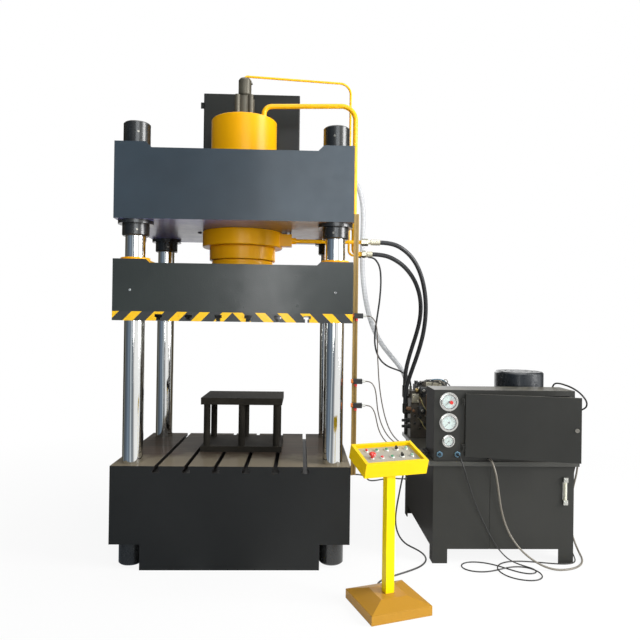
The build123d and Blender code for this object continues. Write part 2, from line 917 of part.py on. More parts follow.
def motor_housing():
    base = lid_top()
    flange = motor_flange_diameter / 2
    outer = motor_body_diameter / 2
    bore = motor_bore / 2
    shaft = motor_shaft_diameter / 2 + shaft_running_gap
    shield = 60
    body = turned([(shaft, base), (flange, base), (flange, base + motor_flange_height),
                   (outer, base + motor_flange_height + 40),
                   (outer, motor_body_top), (shaft, motor_body_top), (shaft, motor_body_top - shield),
                   (bore, motor_body_top - shield), (bore, base + shield), (shaft, base + shield)])
    fin_bottom = base + motor_flange_height + 50
    fin_top = motor_body_top - 30
    fin = block(outer - 3, outer + motor_fin_height, -motor_fin_thickness / 2, motor_fin_thickness / 2,
                fin_bottom, fin_top)
    for i in range(motor_fin_count):
        body += Rot(0, 0, 360 / motor_fin_count * i) * fin
    body += block(outer - 10, outer + 60, -65, 65, base + 190, base + 320)
    body += along_y(outer + 30, -90, -65, base + 270, 22)
    for x, y in corners(motor_bolt_square, motor_bolt_square):
        body += upright(x, y, base + motor_flange_height - 1,
                        base + motor_flange_height + motor_bolt_height, motor_bolt_head)
    return Pos(motor_x, motor_y, 0) * body


def fan_cover():
    outer = fan_cover_diameter / 2
    w = fan_cover_wall
    top = fan_cover_top
    body = turned([(outer - w, motor_body_top - 24), (outer, motor_body_top - 24), (outer, top - 12),
                   (outer - 12, top), (0, top),
                   (0, top - w), (outer - 12, top - w), (outer - w, top - 12)])
    # Three rings of curved air slots in the top.
    for ring, radius in enumerate((60, 100, 140)):
        for i in range(6):
            slot = block(radius - 6, radius + 6, -(radius * 0.36), radius * 0.36, top - w, top)
            body -= Rot(0, 0, 60 * i + 30 * (ring % 2)) * slot
    # Four feet carry the cover on the motor body.
    inner = motor_body_diameter / 2
    for i in range(4):
        foot = block(inner, outer - 1, -8, 8, motor_body_top - 20, motor_body_top - 4)
        body += Rot(0, 0, 45 + 90 * i) * foot
    return Pos(motor_x, motor_y, 0) * body


def motor_shaft():
    base = lid_top()
    radius = motor_shaft_diameter / 2
    core = motor_bore / 2 - rotor_air_gap
    body = upright(0, 0, tank_top - 90, motor_body_top + 82, motor_shaft_diameter)
    body += upright(0, 0, base + 100, motor_body_top - 100, 2 * core)
    body += upright(0, 0, tank_top - 96, tank_top - 26, 90)
    hub_bottom = motor_body_top + 16
    body += upright(0, 0, hub_bottom, hub_bottom + 60, 90)
    blade = block(radius, fan_diameter / 2, -2, 2, hub_bottom, hub_bottom + 54)
    for i in range(fan_blade_count):
        body += Rot(0, 0, 360 / fan_blade_count * i) * blade
    return Pos(motor_x, motor_y, 0) * body


def pump():
    top = tank_top
    bell = pump_bell_diameter / 2
    wall = 16
    body = turned([(bell - wall, top - pump_bell_height + wall), (bell - wall, top), (bell, top),
                   (bell, top - pump_bell_height),
                   (0, top - pump_bell_height), (0, top - pump_bell_height + wall)])
    floor = top - pump_bell_height
    body += upright(0, 0, floor - pump_height, floor, pump_diameter)
    body += upright(0, 0, floor - pump_height - 20, floor - pump_height, 60)
    body += upright(0, 0, floor - pump_height - 20 - strainer_height, floor - pump_height - 20,
                    strainer_diameter)
    return Pos(motor_x, motor_y, 0) * body


# Manifold and valves


def manifold():
    z0 = lid_top()
    body = block(manifold_x, manifold_x + manifold_length, manifold_y, manifold_y + manifold_width, z0,
                 z0 + manifold_height)
    body = chamfer(body.edges().filter_by(Axis.Z), 3)
    x1 = manifold_x + manifold_length
    body += block(x1, x1 + base_block_length, manifold_y, manifold_y + manifold_width, z0,
                  z0 + base_block_height)
    for z in hose_inlets():
        body -= along_x(manifold_x, manifold_x + 30, manifold_y + 60, z, 24)
    return body


def hose_inlets():
    return [lid_top() + height for height in hose_inlet_heights]


def solenoid_valve(x, y, z, turn):
    # Body, two coils with their plugs, and the end caps, lying along local X.
    body = Box(valve_length, valve_depth, valve_height)
    coil_x = valve_length / 2 + coil_size / 2
    cap_x = valve_length / 2 + coil_size + coil_cap_length / 2 - 1
    plug_z = 1 + coil_size / 2 + coil_plug_size / 2
    for side in (-1, 1):
        body += Pos(side * coil_x, 0, 2) * Box(coil_size, coil_size, coil_size)
        body += Pos(side * cap_x, 0, 2) * Rot(0, 90, 0) * Cylinder(coil_cap_diameter / 2, coil_cap_length)
        body += Pos(side * coil_x, 0, plug_z) * Box(coil_plug_size, coil_plug_size, coil_plug_size)
    return Pos(x, y, z) * Rot(0, 0, turn) * body


def solenoid_valves():
    z0 = lid_top()
    top = z0 + manifold_height
    x_mid = manifold_x + manifold_length / 2
    y_mid = manifold_y + manifold_width / 2
    valves = [solenoid_valve(x_mid, y_mid, top + valve_height / 2, 90)]
    x1 = manifold_x + manifold_length
    for x in (x1 + valve_inset, x1 + valve_inset + valve_pitch):
        valves.append(solenoid_valve(x, y_mid, z0 + base_block_height + valve_height / 2, 90))
    # Screw-in valves on the front and the left face.
    front = manifold_y
    for z in [z0 + height for height in screw_valve_heights]:
        plug = along_y(x_mid + 34, front - 46, front, z, 40)
        plug += along_y(x_mid + 34, front - 70, front - 46, z, 26)
        valves.append(plug)
    for z in [z0 + height for height in left_plug_heights]:
        plug = along_x(manifold_x - 34, manifold_x, y_mid, z, 36)
        plug += along_x(manifold_x - 62, manifold_x - 34, y_mid, z, 24)
        valves.append(plug)
    return Compound(valves)


# Control stand


def stand_frame():
    return Pos(stand_x, stand_y, 0) * Rot(0, 0, stand_turn)


def box_frame():
    return stand_frame() * Pos(0, box_offset, box_centre_z) * Rot(box_tilt, 0, 0)


def control_stand():
    skirt = Pos(0, 0, stand_skirt / 2) * Box(stand_base_length, stand_base_depth, stand_skirt)
    lower = Plane.XY.offset(stand_skirt) * Rectangle(stand_base_length, stand_base_depth)
    upper = Plane.XY.offset(stand_base_height) * Rectangle(stand_flat, stand_flat)
    hip = loft([lower, upper])
    body = skirt + hip
    s = stand_sheet
    body -= Pos(0, 0, (stand_skirt - s) / 2) * Box(stand_base_length - 2 * s, stand_base_depth - 2 * s,
                                                   stand_skirt - s)
    # The post is cut off under the tilted box.
    post_top = box_centre_z + 60
    post = Pos(0, 0, (stand_base_height + post_top) / 2) * Box(post_width, post_width,
        post_top - stand_base_height)
    cut = 2 * box_length
    above = Pos(0, box_offset, box_centre_z) * Rot(box_tilt, 0, 0) * Pos(0, 0,
        (cut - box_height) / 2) * Box(cut, cut, cut)
    post -= above
    body += post
    return stand_frame() * body


def control_box():
    body = Box(box_length, box_depth, box_height)
    top = box_height / 2
    recess = box_recess + panel_thickness
    inner_x = box_length - 2 * box_rim
    inner_y = box_depth - 2 * box_rim
    body -= Pos(0, 0, top - recess / 2) * Box(inner_x, inner_y, recess)
    well = box_height - recess - 4
    body -= Pos(0, 0, top - recess - well / 2) * Box(inner_x - 2 * box_ledge, inner_y - 2 * box_ledge, well)
    return box_frame() * body


def panel_top():
    return box_height / 2 - box_recess


def button_places():
    places = []
    for row in (button_row_back, button_row_front):
        for i in range(5):
            places.append(((i - 2) * button_pitch_x + button_shift, row))
    return places


def control_panel():
    inner_x = box_length - 2 * box_rim - 2 * seat_gap
    inner_y = box_depth - 2 * box_rim - 2 * seat_gap
    body = Pos(0, 0, panel_top() - panel_thickness / 2) * Box(inner_x, inner_y, panel_thickness)
    for x, y in button_places():
        body -= Pos(x, y, panel_top() - panel_thickness / 2) * Cylinder(button_hole / 2, panel_thickness)
    return box_frame() * body


def stem_radius():
    return button_hole / 2 - 2.2


def button_bezels():
    face = panel_top()
    rim = face + bezel_height
    inner = stem_radius() + button_running_gap
    outer = bezel_diameter / 2
    sleeve = button_hole / 2 - bore_gap
    foot = face - panel_thickness - 12
    one = turned([(inner, foot), (sleeve, foot), (sleeve, face), (outer, face), (outer, rim - 2),
                  (outer - 2, rim), (inner, rim)])
    rings = []
    for x, y in button_places():
        rings.append(box_frame() * Pos(x, y, 0) * one)
    return Compound(rings)


def stem(top):
    low = panel_top() - panel_thickness - 16
    return Pos(0, 0, (low + top) / 2) * Cylinder(stem_radius(), top - low)


def place_button(index, body):
    x, y = button_places()[index]
    return box_frame() * Pos(x, y, 0) * body


def flush_button(index):
    rim = panel_top() + bezel_height
    body = stem(rim + 5)
    return place_button(index, chamfer(body.edges().group_by(Axis.Z)[-1], 1.2))


def lamp(index):
    rim = panel_top() + bezel_height
    body = stem(rim + 1) + turned([(0, rim + 1), (stem_radius(), rim + 1), (stem_radius() - 1, rim + 7),
                                   (stem_radius() - 5, rim + 11), (0, rim + 12)])
    return place_button(index, body)


def emergency_stop(index):
    rim = panel_top() + bezel_height
    body = stem(rim + 12)
    body += turned([(0, rim + 12), (14, rim + 12), (20, rim + 18), (20, rim + 24), (16, rim + 31),
                    (8, rim + 34), (0, rim + 34.5)])
    return place_button(index, body)


def selector(index):
    rim = panel_top() + bezel_height
    body = stem(rim + 3)
    body += Pos(0, 0, rim + 9) * Box(8, 24, 14)
    return place_button(index, body)


def pilot_lamps():
    return Compound([lamp(0), lamp(4), lamp(9)])


# Fittings at the ends of the hoses and cables


def hose_end(x0, x1, y, z, hose):
    # Nut, shank and crimped ferrule along +X.
    length = x1 - x0
    body = hexagon_along_x(x0, x0 + 0.36 * length, y, z, 1.45 * hose)
    body += along_x(x0 + 0.36 * length, x0 + 0.5 * length, y, z, 0.9 * hose)
    body += along_x(x0 + 0.5 * length, x1, y, z, 1.3 * hose)
    return body


def gland_at(origin, direction, cable, reach):
    # A cable gland: hexagon body and a domed nut, with its back face on the origin.
    plane = Plane(origin, z_dir=direction)
    body = extrude(plane * RegularPolygon(cable * 1.5, 6), 0.4 * reach)
    body += extrude(plane * Circle(cable * 1.05), reach)
    return body


def lug_at(point, x_face, diameter):
    # A ring lug flat on a wall at x_face, with its bolt head and the crimp that takes the lead.
    x, y, z = point
    low = min(x, x_face)
    high = max(x, x_face)
    body = block(low, high, y - 6, y + 6, z - 6, z + 6)
    body += along_x(low, high, y, z, diameter + 4)
    bolt_y = y + 16
    thin = 3 if x > x_face else -3
    body += block(min(x_face, x_face + thin), max(x_face, x_face + thin), y - 10, bolt_y + 11, z - 11,
                  z + 11)
    body += along_x(min(x_face, x_face + 3 * thin), max(x_face, x_face + 3 * thin), bolt_y, z, 16)
    return body


def line_fittings():
    parts = []
    parts.append(hose_end(return_line_x, return_line_x + return_union_length, port_axis_y, port_axis_z,
                          pressure_hose))
    parts.append(hose_end(pressing_line_x, pressing_line_x + pressing_end_length, 0, side_line_z,
                          pressure_hose))
    parts.append(hose_end(pilot_line_x, pilot_line_x + pilot_end_length, pilot_pipe_y, side_line_z,
                          1.6 * pilot_hose_diameter))
    # Elbows on the left face of the manifold.
    for points, inlet in zip((upper_hose_points, lower_hose_points), hose_inlets()):
        x, y, z = points[-1]
        elbow = upright(x, y, inlet, z, 1.3 * pressure_hose)
        elbow += Pos(x, y, inlet) * Sphere(0.65 * pressure_hose)
        elbow += along_x(x, manifold_x, y, inlet, 1.1 * pressure_hose)
        parts.append(elbow)
    x, y, z = pilot_hose_points[-1]
    top = lid_top() + manifold_height
    parts.append(upright(x, y, top, z, 1.5 * pilot_hose_diameter))
    # Standpipe of the clear hose behind the manifold, with its clamp.
    x, y, z = clear_hose_points[-1]
    parts.append(upright(x, y, lid_top(), z, 0.8 * clear_hose_diameter) + upright(x, y, z - 34, z,
        clear_hose_diameter + 10))
    x, y, z = clear_hose_points[0]
    outlet = prefill_tank_centre_x + prefill_tank_length / 2
    parts.append(along_x(outlet, x, y, z, clear_hose_diameter + 10))
    # Glands on the gauge panel and under the door.
    x, y, z = thin_cable_points[0]
    parts.append(gland_at((x, tank_front, z), (0, -1, 0), thin_cable, panel_gland_reach))
    parts.append(gland_at((2 * gauge_x - x, tank_front, z), (0, -1, 0), thin_cable, panel_gland_reach))
    x, y, z = thick_cable_points[0]
    parts.append(along_y(x, y, tank_front, z, thick_cable + 8))
    # Glands on the two sides of the enclosure.
    for points in (sensor_top_points, sensor_middle_points, sensor_low_points, stand_cable_points):
        x, y, z = points[-1]
        parts.append(gland_at((tank_left, y, z), (-1, 0, 0), sensor_cable + 1, gland_reach))
    right = tank_left + tank_length
    for points in (thin_cable_points, thick_cable_points, motor_cable_points):
        x, y, z = points[-1]
        parts.append(gland_at((right, y, z), (1, 0, 0), thick_cable, gland_reach))
    # Gland behind the stand base, and the two lugs of the earth lead.
    plug = Pos(stand_cable_place, stand_base_depth / 2, stand_cable_points[0][2]) * Rot(-90, 0, 0)
    parts.append(stand_frame() * plug * Pos(0, 0,
                                            stand_cable_reach / 2) * Cylinder(0.65 * stand_cable_diameter,
                                                stand_cable_reach))
    parts.append(lug_at(earth_lead_points[0], frame_length / 2, earth_lead_diameter))
    parts.append(lug_at(earth_lead_points[-1], tank_left, earth_lead_diameter))
    return Compound(parts)


# Routes of the hoses and cables, from one end to the other
upper_hose_points = [
    (1056, -70, 2295), (1160.3, -70, 2295), (1282, -35, 2226), (1359, 7, 2139), (1411, 54, 2038),
    (1445, 101, 1929), (1464, 144, 1815), (1468, 185, 1699), (1459, 224, 1582), (1438, 263, 1467),
    (1409, 302, 1353), (1377, 340, 1240), (1345, 374, 1104.7), (1345, 374, 1000)
]
lower_hose_points = [
    (1006, 0, 2212), (1105.1, 0, 2212), (1226, 30, 2158), (1311, 69, 2087), (1375, 116, 2002),
    (1418, 168, 1906), (1439, 220, 1803), (1440, 271, 1698), (1424, 320, 1593), (1400, 365, 1488),
    (1375, 402, 1380), (1352, 430, 1249.4), (1352, 430, 1150)
]
pilot_hose_points = [
    (985, 100, 2200), (1029.4, 100, 2200), (1070, 111, 2154), (1087, 120, 2104), (1093, 127, 2052),
    (1095, 133, 2000), (1094, 138, 1947), (1091, 144, 1894), (1087, 150, 1842), (1081, 158, 1790),
    (1075, 168, 1738), (1070, 181, 1687), (1065, 195, 1637), (1062, 211, 1586), (1063, 229, 1536),
    (1070, 249, 1488), (1083, 272, 1442), (1103, 298, 1401), (1129, 328, 1365), (1161, 359, 1336),
    (1197, 390, 1313), (1236, 421, 1296), (1279, 448, 1281), (1326, 466, 1263), (1370, 470, 1236),
    (1406, 458, 1186.6), (1406, 458, 1142)
]
clear_hose_points = [
    (446, 332, 2948), (548.4, 332, 2948), (687, 332, 2953), (805, 331, 2931), (899, 330, 2858),
    (947, 330, 2748), (964, 330, 2629), (966, 330, 2509), (963, 330, 2388), (962, 330, 2268),
    (964, 330, 2147), (973, 331, 2027), (989, 333, 1908), (1013, 341, 1790), (1049, 359, 1676),
    (1098, 390, 1571), (1162, 432, 1478), (1235, 480, 1396), (1312, 524, 1315), (1388, 560, 1199.5),
    (1388, 560, 1098)
]
sensor_top_points = [
    (914, -482, 1725), (950.6, -482, 1725), (981, -470, 1683), (992, -459, 1642), (997, -447, 1600),
    (1000, -437, 1558), (1002, -427, 1515), (1004, -418, 1473), (1007, -409, 1430), (1011, -400, 1387),
    (1015, -390, 1345), (1019, -379, 1302), (1024, -369, 1260), (1030, -358, 1218), (1037, -346, 1176),
    (1045, -335, 1135), (1054, -324, 1093), (1064, -313, 1052), (1075, -303, 1011), (1088, -293, 970),
    (1103, -284, 930), (1121, -275, 891), (1144, -267, 855), (1173, -260, 822), (1206, -253, 794),
    (1243, -247, 772), (1284, -243, 756), (1332.8, -240, 745), (1370, -240, 745)
]
sensor_middle_points = [
    (914, -482, 1269), (949.8, -482, 1269), (980, -468, 1229), (991, -454, 1190), (998, -439, 1151),
    (1004, -424, 1111), (1010, -408, 1072), (1019, -392, 1033), (1030, -376, 995), (1044, -360, 957),
    (1061, -345, 921), (1081, -331, 885), (1105, -319, 853), (1134, -307, 823), (1168, -296, 798),
    (1204, -287, 778), (1244, -279, 763), (1285, -274, 752), (1333.5, -270, 745), (1370, -270, 745)
]
sensor_low_points = [
    (914, -482, 1101), (949.7, -482, 1101), (979, -465, 1061), (992, -449, 1024), (1002, -431, 986),
    (1012, -413, 949), (1025, -395, 912), (1042, -377, 877), (1064, -360, 844), (1091, -345, 815),
    (1123, -332, 790), (1160, -321, 772), (1200, -313, 759), (1242, -307, 752), (1284, -303, 747),
    (1333.6, -300, 745), (1370, -300, 745)
]
earth_lead_points = [
    (838, -420, 604), (888.7, -420, 604), (931, -365, 578), (949, -312, 554), (962, -257, 531),
    (974, -201, 509), (990, -145, 490), (1009, -90, 473), (1032, -35, 458), (1057, 19, 446),
    (1084, 72, 435), (1114, 125, 425), (1143, 177, 416), (1172, 230, 407), (1199, 284, 397),
    (1224, 338, 386), (1246, 394, 372), (1266, 449, 356), (1286, 504, 338), (1329.2, 560, 318),
    (1380, 560, 318)
]
stand_cable_points = [
    (976.5, -901.3, 8), (959.2, -850.1, 8), (994, -781, 7), (1041, -737, 6), (1094, -701, 6),
    (1148, -666, 6), (1202, -630, 6), (1254, -592, 6), (1302, -549, 6), (1340, -498, 6),
    (1366, -439, 6), (1374, -375, 6), (1365, -311, 6), (1342, -251, 6), (1309, -196, 6),
    (1270, -146, 13), (1233, -105, 45), (1210, -84, 101), (1202, -83, 164), (1203, -93, 228),
    (1208, -110, 290), (1214, -130, 351), (1220, -153, 411), (1225, -178, 470), (1231, -205, 528),
    (1238, -234, 585), (1249, -265, 641), (1269, -296, 693), (1316.2, -330, 745), (1370, -330, 745)
]
thin_cable_points = [
    (1567, -508, 764), (1567, -554.6, 764), (1588, -572, 695), (1606, -568, 640), (1625, -561, 585),
    (1645, -553, 532), (1666, -544, 478), (1688, -536, 425), (1711, -529, 373), (1736, -524, 320),
    (1762, -520, 269), (1789, -517, 218), (1819, -515, 168), (1851, -513, 120), (1889, -512, 76),
    (1933, -513, 38), (1985, -522, 15), (2037, -543, 4.5), (2078, -584, 4.5), (2080, -639, 4.5),
    (2033, -669, 5), (1978, -655, 5), (1931, -620, 5), (1891, -579, 5), (1850, -538, 5),
    (1804, -502, 5), (1752, -477, 5), (1695, -467, 5), (1639, -476, 5), (1595, -513, 5),
    (1586, -568, 5), (1619, -614, 5), (1673, -634, 5), (1731, -635, 5), (1787, -622, 7),
    (1841, -602, 9), (1896, -583, 13), (1953, -571, 14), (2010, -576, 14), (2061, -603, 12),
    (2092, -651, 9), (2092, -708, 6), (2057, -754, 5), (2003, -773, 4.5), (1946, -767, 5),
    (1894, -743, 5), (1851, -704, 6), (1824, -653, 9), (1820, -596, 12), (1845, -544, 14),
    (1889, -507, 15), (1943, -485, 15), (1999, -474, 13), (2057, -469, 10), (2115, -472, 7),
    (2172, -480, 6), (2229, -491, 5), (2286, -500, 4.5), (2344, -503, 4.5), (2399, -486, 4.5),
    (2435, -442, 4.5), (2451, -387, 11), (2454, -336, 39), (2453, -304, 86), (2451, -293, 143),
    (2450, -291, 201), (2450, -293, 259), (2451, -297, 317), (2451, -301, 375), (2452, -305, 432),
    (2455, -310, 490), (2462, -315, 547), (2471, -320, 604), (2481, -326, 661), (2490, -332, 718),
    (2476.7, -340, 790), (2430, -340, 790)
]
thick_cable_points = [
    (1790, -500, 735), (1790, -551, 735), (1804, -586, 669), (1816, -587, 609), (1828, -578, 549),
    (1840, -565, 490), (1853, -552, 431), (1868, -544, 372), (1886, -540, 313), (1909, -542, 255),
    (1937, -547, 201), (1973, -555, 151), (2015, -566, 107), (2062, -579, 70), (2114, -594, 40),
    (2170, -606, 19), (2231, -612, 8), (2292, -606, 7), (2351, -587, 7), (2402, -554, 7),
    (2445, -509, 7), (2477, -457, 7), (2501, -400, 7), (2518, -340, 7), (2527, -281, 21),
    (2529, -229, 54), (2526, -192, 102), (2520, -174, 161), (2514, -169, 222), (2511, -174, 283),
    (2510, -186, 344), (2512, -201, 403), (2516, -219, 462), (2521, -236, 521), (2526, -252, 581),
    (2527, -265, 641), (2519, -276, 701), (2481.3, -285, 765), (2430, -285, 765)
]
motor_cable_points = [
    (2362, -90, 985), (2362, -125.4, 985), (2362, -158, 1024), (2361, -172, 1064), (2360, -178, 1106),
    (2358, -183, 1148), (2357, -191, 1190), (2356, -212, 1226), (2357, -249, 1246), (2360, -290, 1251),
    (2366, -332, 1251), (2375, -374, 1247), (2386, -414, 1241), (2401, -452, 1230), (2421, -484, 1212),
    (2446, -503, 1184), (2471, -501, 1151), (2488, -480, 1118), (2490, -449, 1090), (2465, -410, 1066),
    (2430, -410, 1066)
]

pieces = {
    "bed": bed(),
    "columns": columns(),
    "crown": crown(),
    "slide": slide(),
    "column_nuts": column_nuts(),
    "slide_bushings": slide_bushings(),
    "cylinder_barrel": cylinder_barrel(),
    "cylinder_gland": cylinder_gland(),
    "ram": ram(),
    "ram_flange": ram_flange(),
    "piston_seals": piston_seals(),
    "prefill_valve": prefill_valve(),
    "prefill_tank": prefill_tank(),
    "pilot_pipe": pilot_pipe(),
    "pressing_pipe": pressing_pipe(),
    "return_pipe": return_pipe(),
    "line_fittings": line_fittings(),
    "limit_rail": limit_rail(),
    "limit_switches": limit_switches(),
    "riser_table": riser_table(),
    "oil_tank": oil_tank(),
    "tank_lid": tank_lid(),
    "level_gauge": level_gauge(),
    "enclosure": enclosure(),
    "cabinet_door": cabinet_door(),
    "door_lock": door_lock(),
    "gauge_cases": gauge_cases(),
    "motor_housing": motor_housing(),
    "fan_cover": fan_cover(),
    "motor_shaft": motor_shaft(),
    "pump": pump(),
    "manifold": manifold(),
    "solenoid_valves": solenoid_valves(),
    "control_stand": control_stand(),
    "control_box": control_box(),
    "control_panel": control_panel(),
    "button_bezels": button_bezels(),
    "pilot_lamps": pilot_lamps(),
    "emergency_stop": emergency_stop(5),
    "red_button": flush_button(6),
    "green_button_left": flush_button(1),
    "green_button_middle": flush_button(2),
    "green_button_front": flush_button(7),
    "selector_back": selector(3),
    "selector_front": selector(8),
}

for name, z, size in zip(("pointer_upper", "pointer_middle", "pointer_lower"), gauge_heights,
                         gauge_sizes()):
    pieces[name] = pointer(z, size)

routes = {
    "upper_hose": (upper_hose_points, pressure_hose),
    "lower_hose": (lower_hose_points, pressure_hose),
    "pilot_hose": (pilot_hose_points, pilot_hose_diameter),
    "clear_hose": (clear_hose_points, clear_hose_diameter),
    "sensor_cable_top": (sensor_top_points, sensor_cable),
    "sensor_cable_middle": (sensor_middle_points, sensor_cable),
    "sensor_cable_low": (sensor_low_points, sensor_cable),
    "earth_lead": (earth_lead_points, earth_lead_diameter),
    "stand_cable": (stand_cable_points, stand_cable_diameter),
    "supply_cable_thin": (thin_cable_points, thin_cable),
    "supply_cable_thick": (thick_cable_points, thick_cable),
    "motor_cable": (motor_cable_points, motor_cable_diameter),
}

for name, (points, diameter) in routes.items():
    pieces[name] = cord(name, points, diameter)

os.makedirs("parts", exist_ok=True)
for name, piece in pieces.items():
    export_step(piece, f"parts/{name}.step")
print(len(pieces), "pieces")
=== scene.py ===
import bmesh
import bpy
import math
from mathutils import Matrix, Vector


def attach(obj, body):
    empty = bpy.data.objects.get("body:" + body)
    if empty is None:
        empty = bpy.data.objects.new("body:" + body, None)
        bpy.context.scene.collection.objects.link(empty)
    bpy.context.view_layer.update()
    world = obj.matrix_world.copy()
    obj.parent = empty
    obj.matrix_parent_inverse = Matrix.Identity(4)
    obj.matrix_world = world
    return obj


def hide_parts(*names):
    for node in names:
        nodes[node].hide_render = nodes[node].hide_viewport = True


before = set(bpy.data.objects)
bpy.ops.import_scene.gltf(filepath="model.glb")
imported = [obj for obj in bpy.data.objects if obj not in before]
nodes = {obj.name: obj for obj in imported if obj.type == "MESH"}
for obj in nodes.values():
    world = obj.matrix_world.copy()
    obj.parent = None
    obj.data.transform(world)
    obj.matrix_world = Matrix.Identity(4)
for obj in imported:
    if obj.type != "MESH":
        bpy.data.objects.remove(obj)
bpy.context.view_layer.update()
scene = bpy.context.scene
print("stage: frame loaded")


def srgb(r, g, b):
    channels = []
    for c in (r / 255, g / 255, b / 255):
        channels.append(c / 12.92 if c <= 0.04045 else ((c + 0.055) / 1.055) ** 2.4)
    return channels + [1.0]


# Shader tools


def addNode(tree, kind, inputs=None, **settings):
    made = tree.nodes.new("ShaderNode" + kind)
    for key, value in settings.items():
        setattr(made, key, value)
    for key, value in (inputs or {}).items():
        socket = made.inputs[key]
        if isinstance(value, bpy.types.NodeSocket):
            tree.links.new(value, socket)
        else:
            socket.default_value = value
    return made


def math2(tree, operation, a, b=0.0):
    return addNode(tree, "Math", {0: a, 1: b}, operation=operation).outputs[0]


def ramp(tree, value, low, high, outLow=0.0, outHigh=1.0):
    ends = {"From Min": low, "From Max": high, "To Min": outLow, "To Max": outHigh}
    return addNode(tree, "MapRange", {"Value": value, **ends}).outputs["Result"]


def mixColour(tree, factor, a, b):
    made = tree.nodes.new("ShaderNodeMix")
    made.data_type = "RGBA"
    for socket, value in ((made.inputs[0], factor), (made.inputs[6], a), (made.inputs[7], b)):
        if isinstance(value, bpy.types.NodeSocket):
            tree.links.new(value, socket)
        else:
            socket.default_value = value
    return made.outputs[2]


def noise(tree, scale, detail, roughness=0.5, place=None):
    inputs = {"Vector": place or objectPlace(tree), "Scale": scale, "Detail": detail, "Roughness": roughness}
    return addNode(tree, "TexNoise", inputs).outputs["Fac"]


def vectorMath(tree, operation, a, b, output=0):
    return addNode(tree, "VectorMath", {0: a, 1: b}, operation=operation).outputs[output]


def absolute(tree, value):
    return math2(tree, "ABSOLUTE", value)


def times(tree, a, b):
    return math2(tree, "MULTIPLY", a, b)


def isOver(tree, value, limit):
    return math2(tree, "GREATER_THAN", value, limit)


def isUnder(tree, value, limit):
    return math2(tree, "LESS_THAN", value, limit)


def objectPlace(tree):
    return addNode(tree, "TexCoord").outputs["Object"]


def objectAxes(tree):
    return addNode(tree, "SeparateXYZ", {0: objectPlace(tree)}).outputs


def faceUp(tree):
    # How far the face itself looks up, from -1 to 1.
    normal = addNode(tree, "NewGeometry").outputs["True Normal"]
    return addNode(tree, "SeparateXYZ", {0: normal}).outputs["Z"]


def newGroup(name, inputs, outputs):
    tree = bpy.data.node_groups.new(name, "ShaderNodeTree")
    for socketName, kind, default in inputs:
        made = tree.interface.new_socket(name=socketName, in_out="INPUT", socket_type="NodeSocket" + kind)
        if default is not None:
            made.default_value = default
    for socketName, kind in outputs:
        tree.interface.new_socket(name=socketName, in_out="OUTPUT", socket_type="NodeSocket" + kind)
    return tree, tree.nodes.new("NodeGroupInput"), tree.nodes.new("NodeGroupOutput")


# Tone and wear of a painted or rolled surface, shared by most materials.
wearInputs = [("Scale", 1.0), ("Edge", 0.003), ("Dust", 0.2), ("Grain", 0.1), ("Peel", 420.0)]
wearOutputs = [("Tone", "Float"), ("Fine", "Float"), ("Worn", "Float"), ("Dusty", "Float"), ("Normal", "Vector")]
tree, ins, outs = newGroup("surfaceWear", [(name, "Float", value) for name, value in wearInputs], wearOutputs)
ins = ins.outputs
broad = noise(tree, ins["Scale"], 3.0, 0.55)
smudge = noise(tree, times(tree, ins["Scale"], 9.0), 5.0, 0.65)
speck = noise(tree, ins["Peel"], 2.0)
edged = addNode(tree, "Bevel", {"Radius": ins["Edge"]}, samples=4).outputs[0]
trueNormal = addNode(tree, "NewGeometry").outputs["True Normal"]
edgeMask = ramp(tree, vectorMath(tree, "DOT_PRODUCT", edged, trueNormal, "Value"), 0.985, 0.88)
upward = ramp(tree, addNode(tree, "SeparateXYZ", {0: trueNormal}).outputs["Z"], 0.6, 0.95)
settled = times(tree, upward, ramp(tree, smudge, 0.3, 0.7))
grain = {"Strength": ins["Grain"], "Distance": 0.0006, "Height": speck, "Normal": edged}
worked = {
    "Tone": broad, "Fine": smudge, "Worn": times(tree, edgeMask, ramp(tree, smudge, 0.5, 0.66)),
    "Dusty": times(tree, settled, ins["Dust"]), "Normal": addNode(tree, "Bump", grain).outputs[0],
}
for socketName, value in worked.items():
    tree.links.new(value, outs.inputs[socketName])
wearGroup = tree

# A box of Object space, as a mask for pieces that one CAD node holds in several colours.
tree, ins, outs = newGroup("insideBox", [("Low", "Vector", None), ("High", "Vector", None)], [("Inside", "Float")])
place = objectPlace(tree)
above = vectorMath(tree, "SUBTRACT", place, ins.outputs["Low"])
below = vectorMath(tree, "SUBTRACT", ins.outputs["High"], place)
least = vectorMath(tree, "MINIMUM", above, below)
parts = addNode(tree, "SeparateXYZ", {0: least}).outputs
smallest = math2(tree, "MINIMUM", math2(tree, "MINIMUM", parts[0], parts[1]), parts[2])
tree.links.new(isOver(tree, smallest, 0.0), outs.inputs["Inside"])
boxGroup = tree


def insideBox(tree, low, high):
    made = tree.nodes.new("ShaderNodeGroup")
    made.node_tree = boxGroup
    made.inputs["Low"].default_value = low
    made.inputs["High"].default_value = high
    return made.outputs[0]


def newMaterial(name):
    made = bpy.data.materials.new(name)
    made.use_nodes = True
    tree = made.node_tree
    tree.nodes.clear()
    shader = tree.nodes.new("ShaderNodeBsdfPrincipled")
    out = tree.nodes.new("ShaderNodeOutputMaterial")
    tree.links.new(shader.outputs[0], out.inputs["Surface"])
    return made, tree, shader


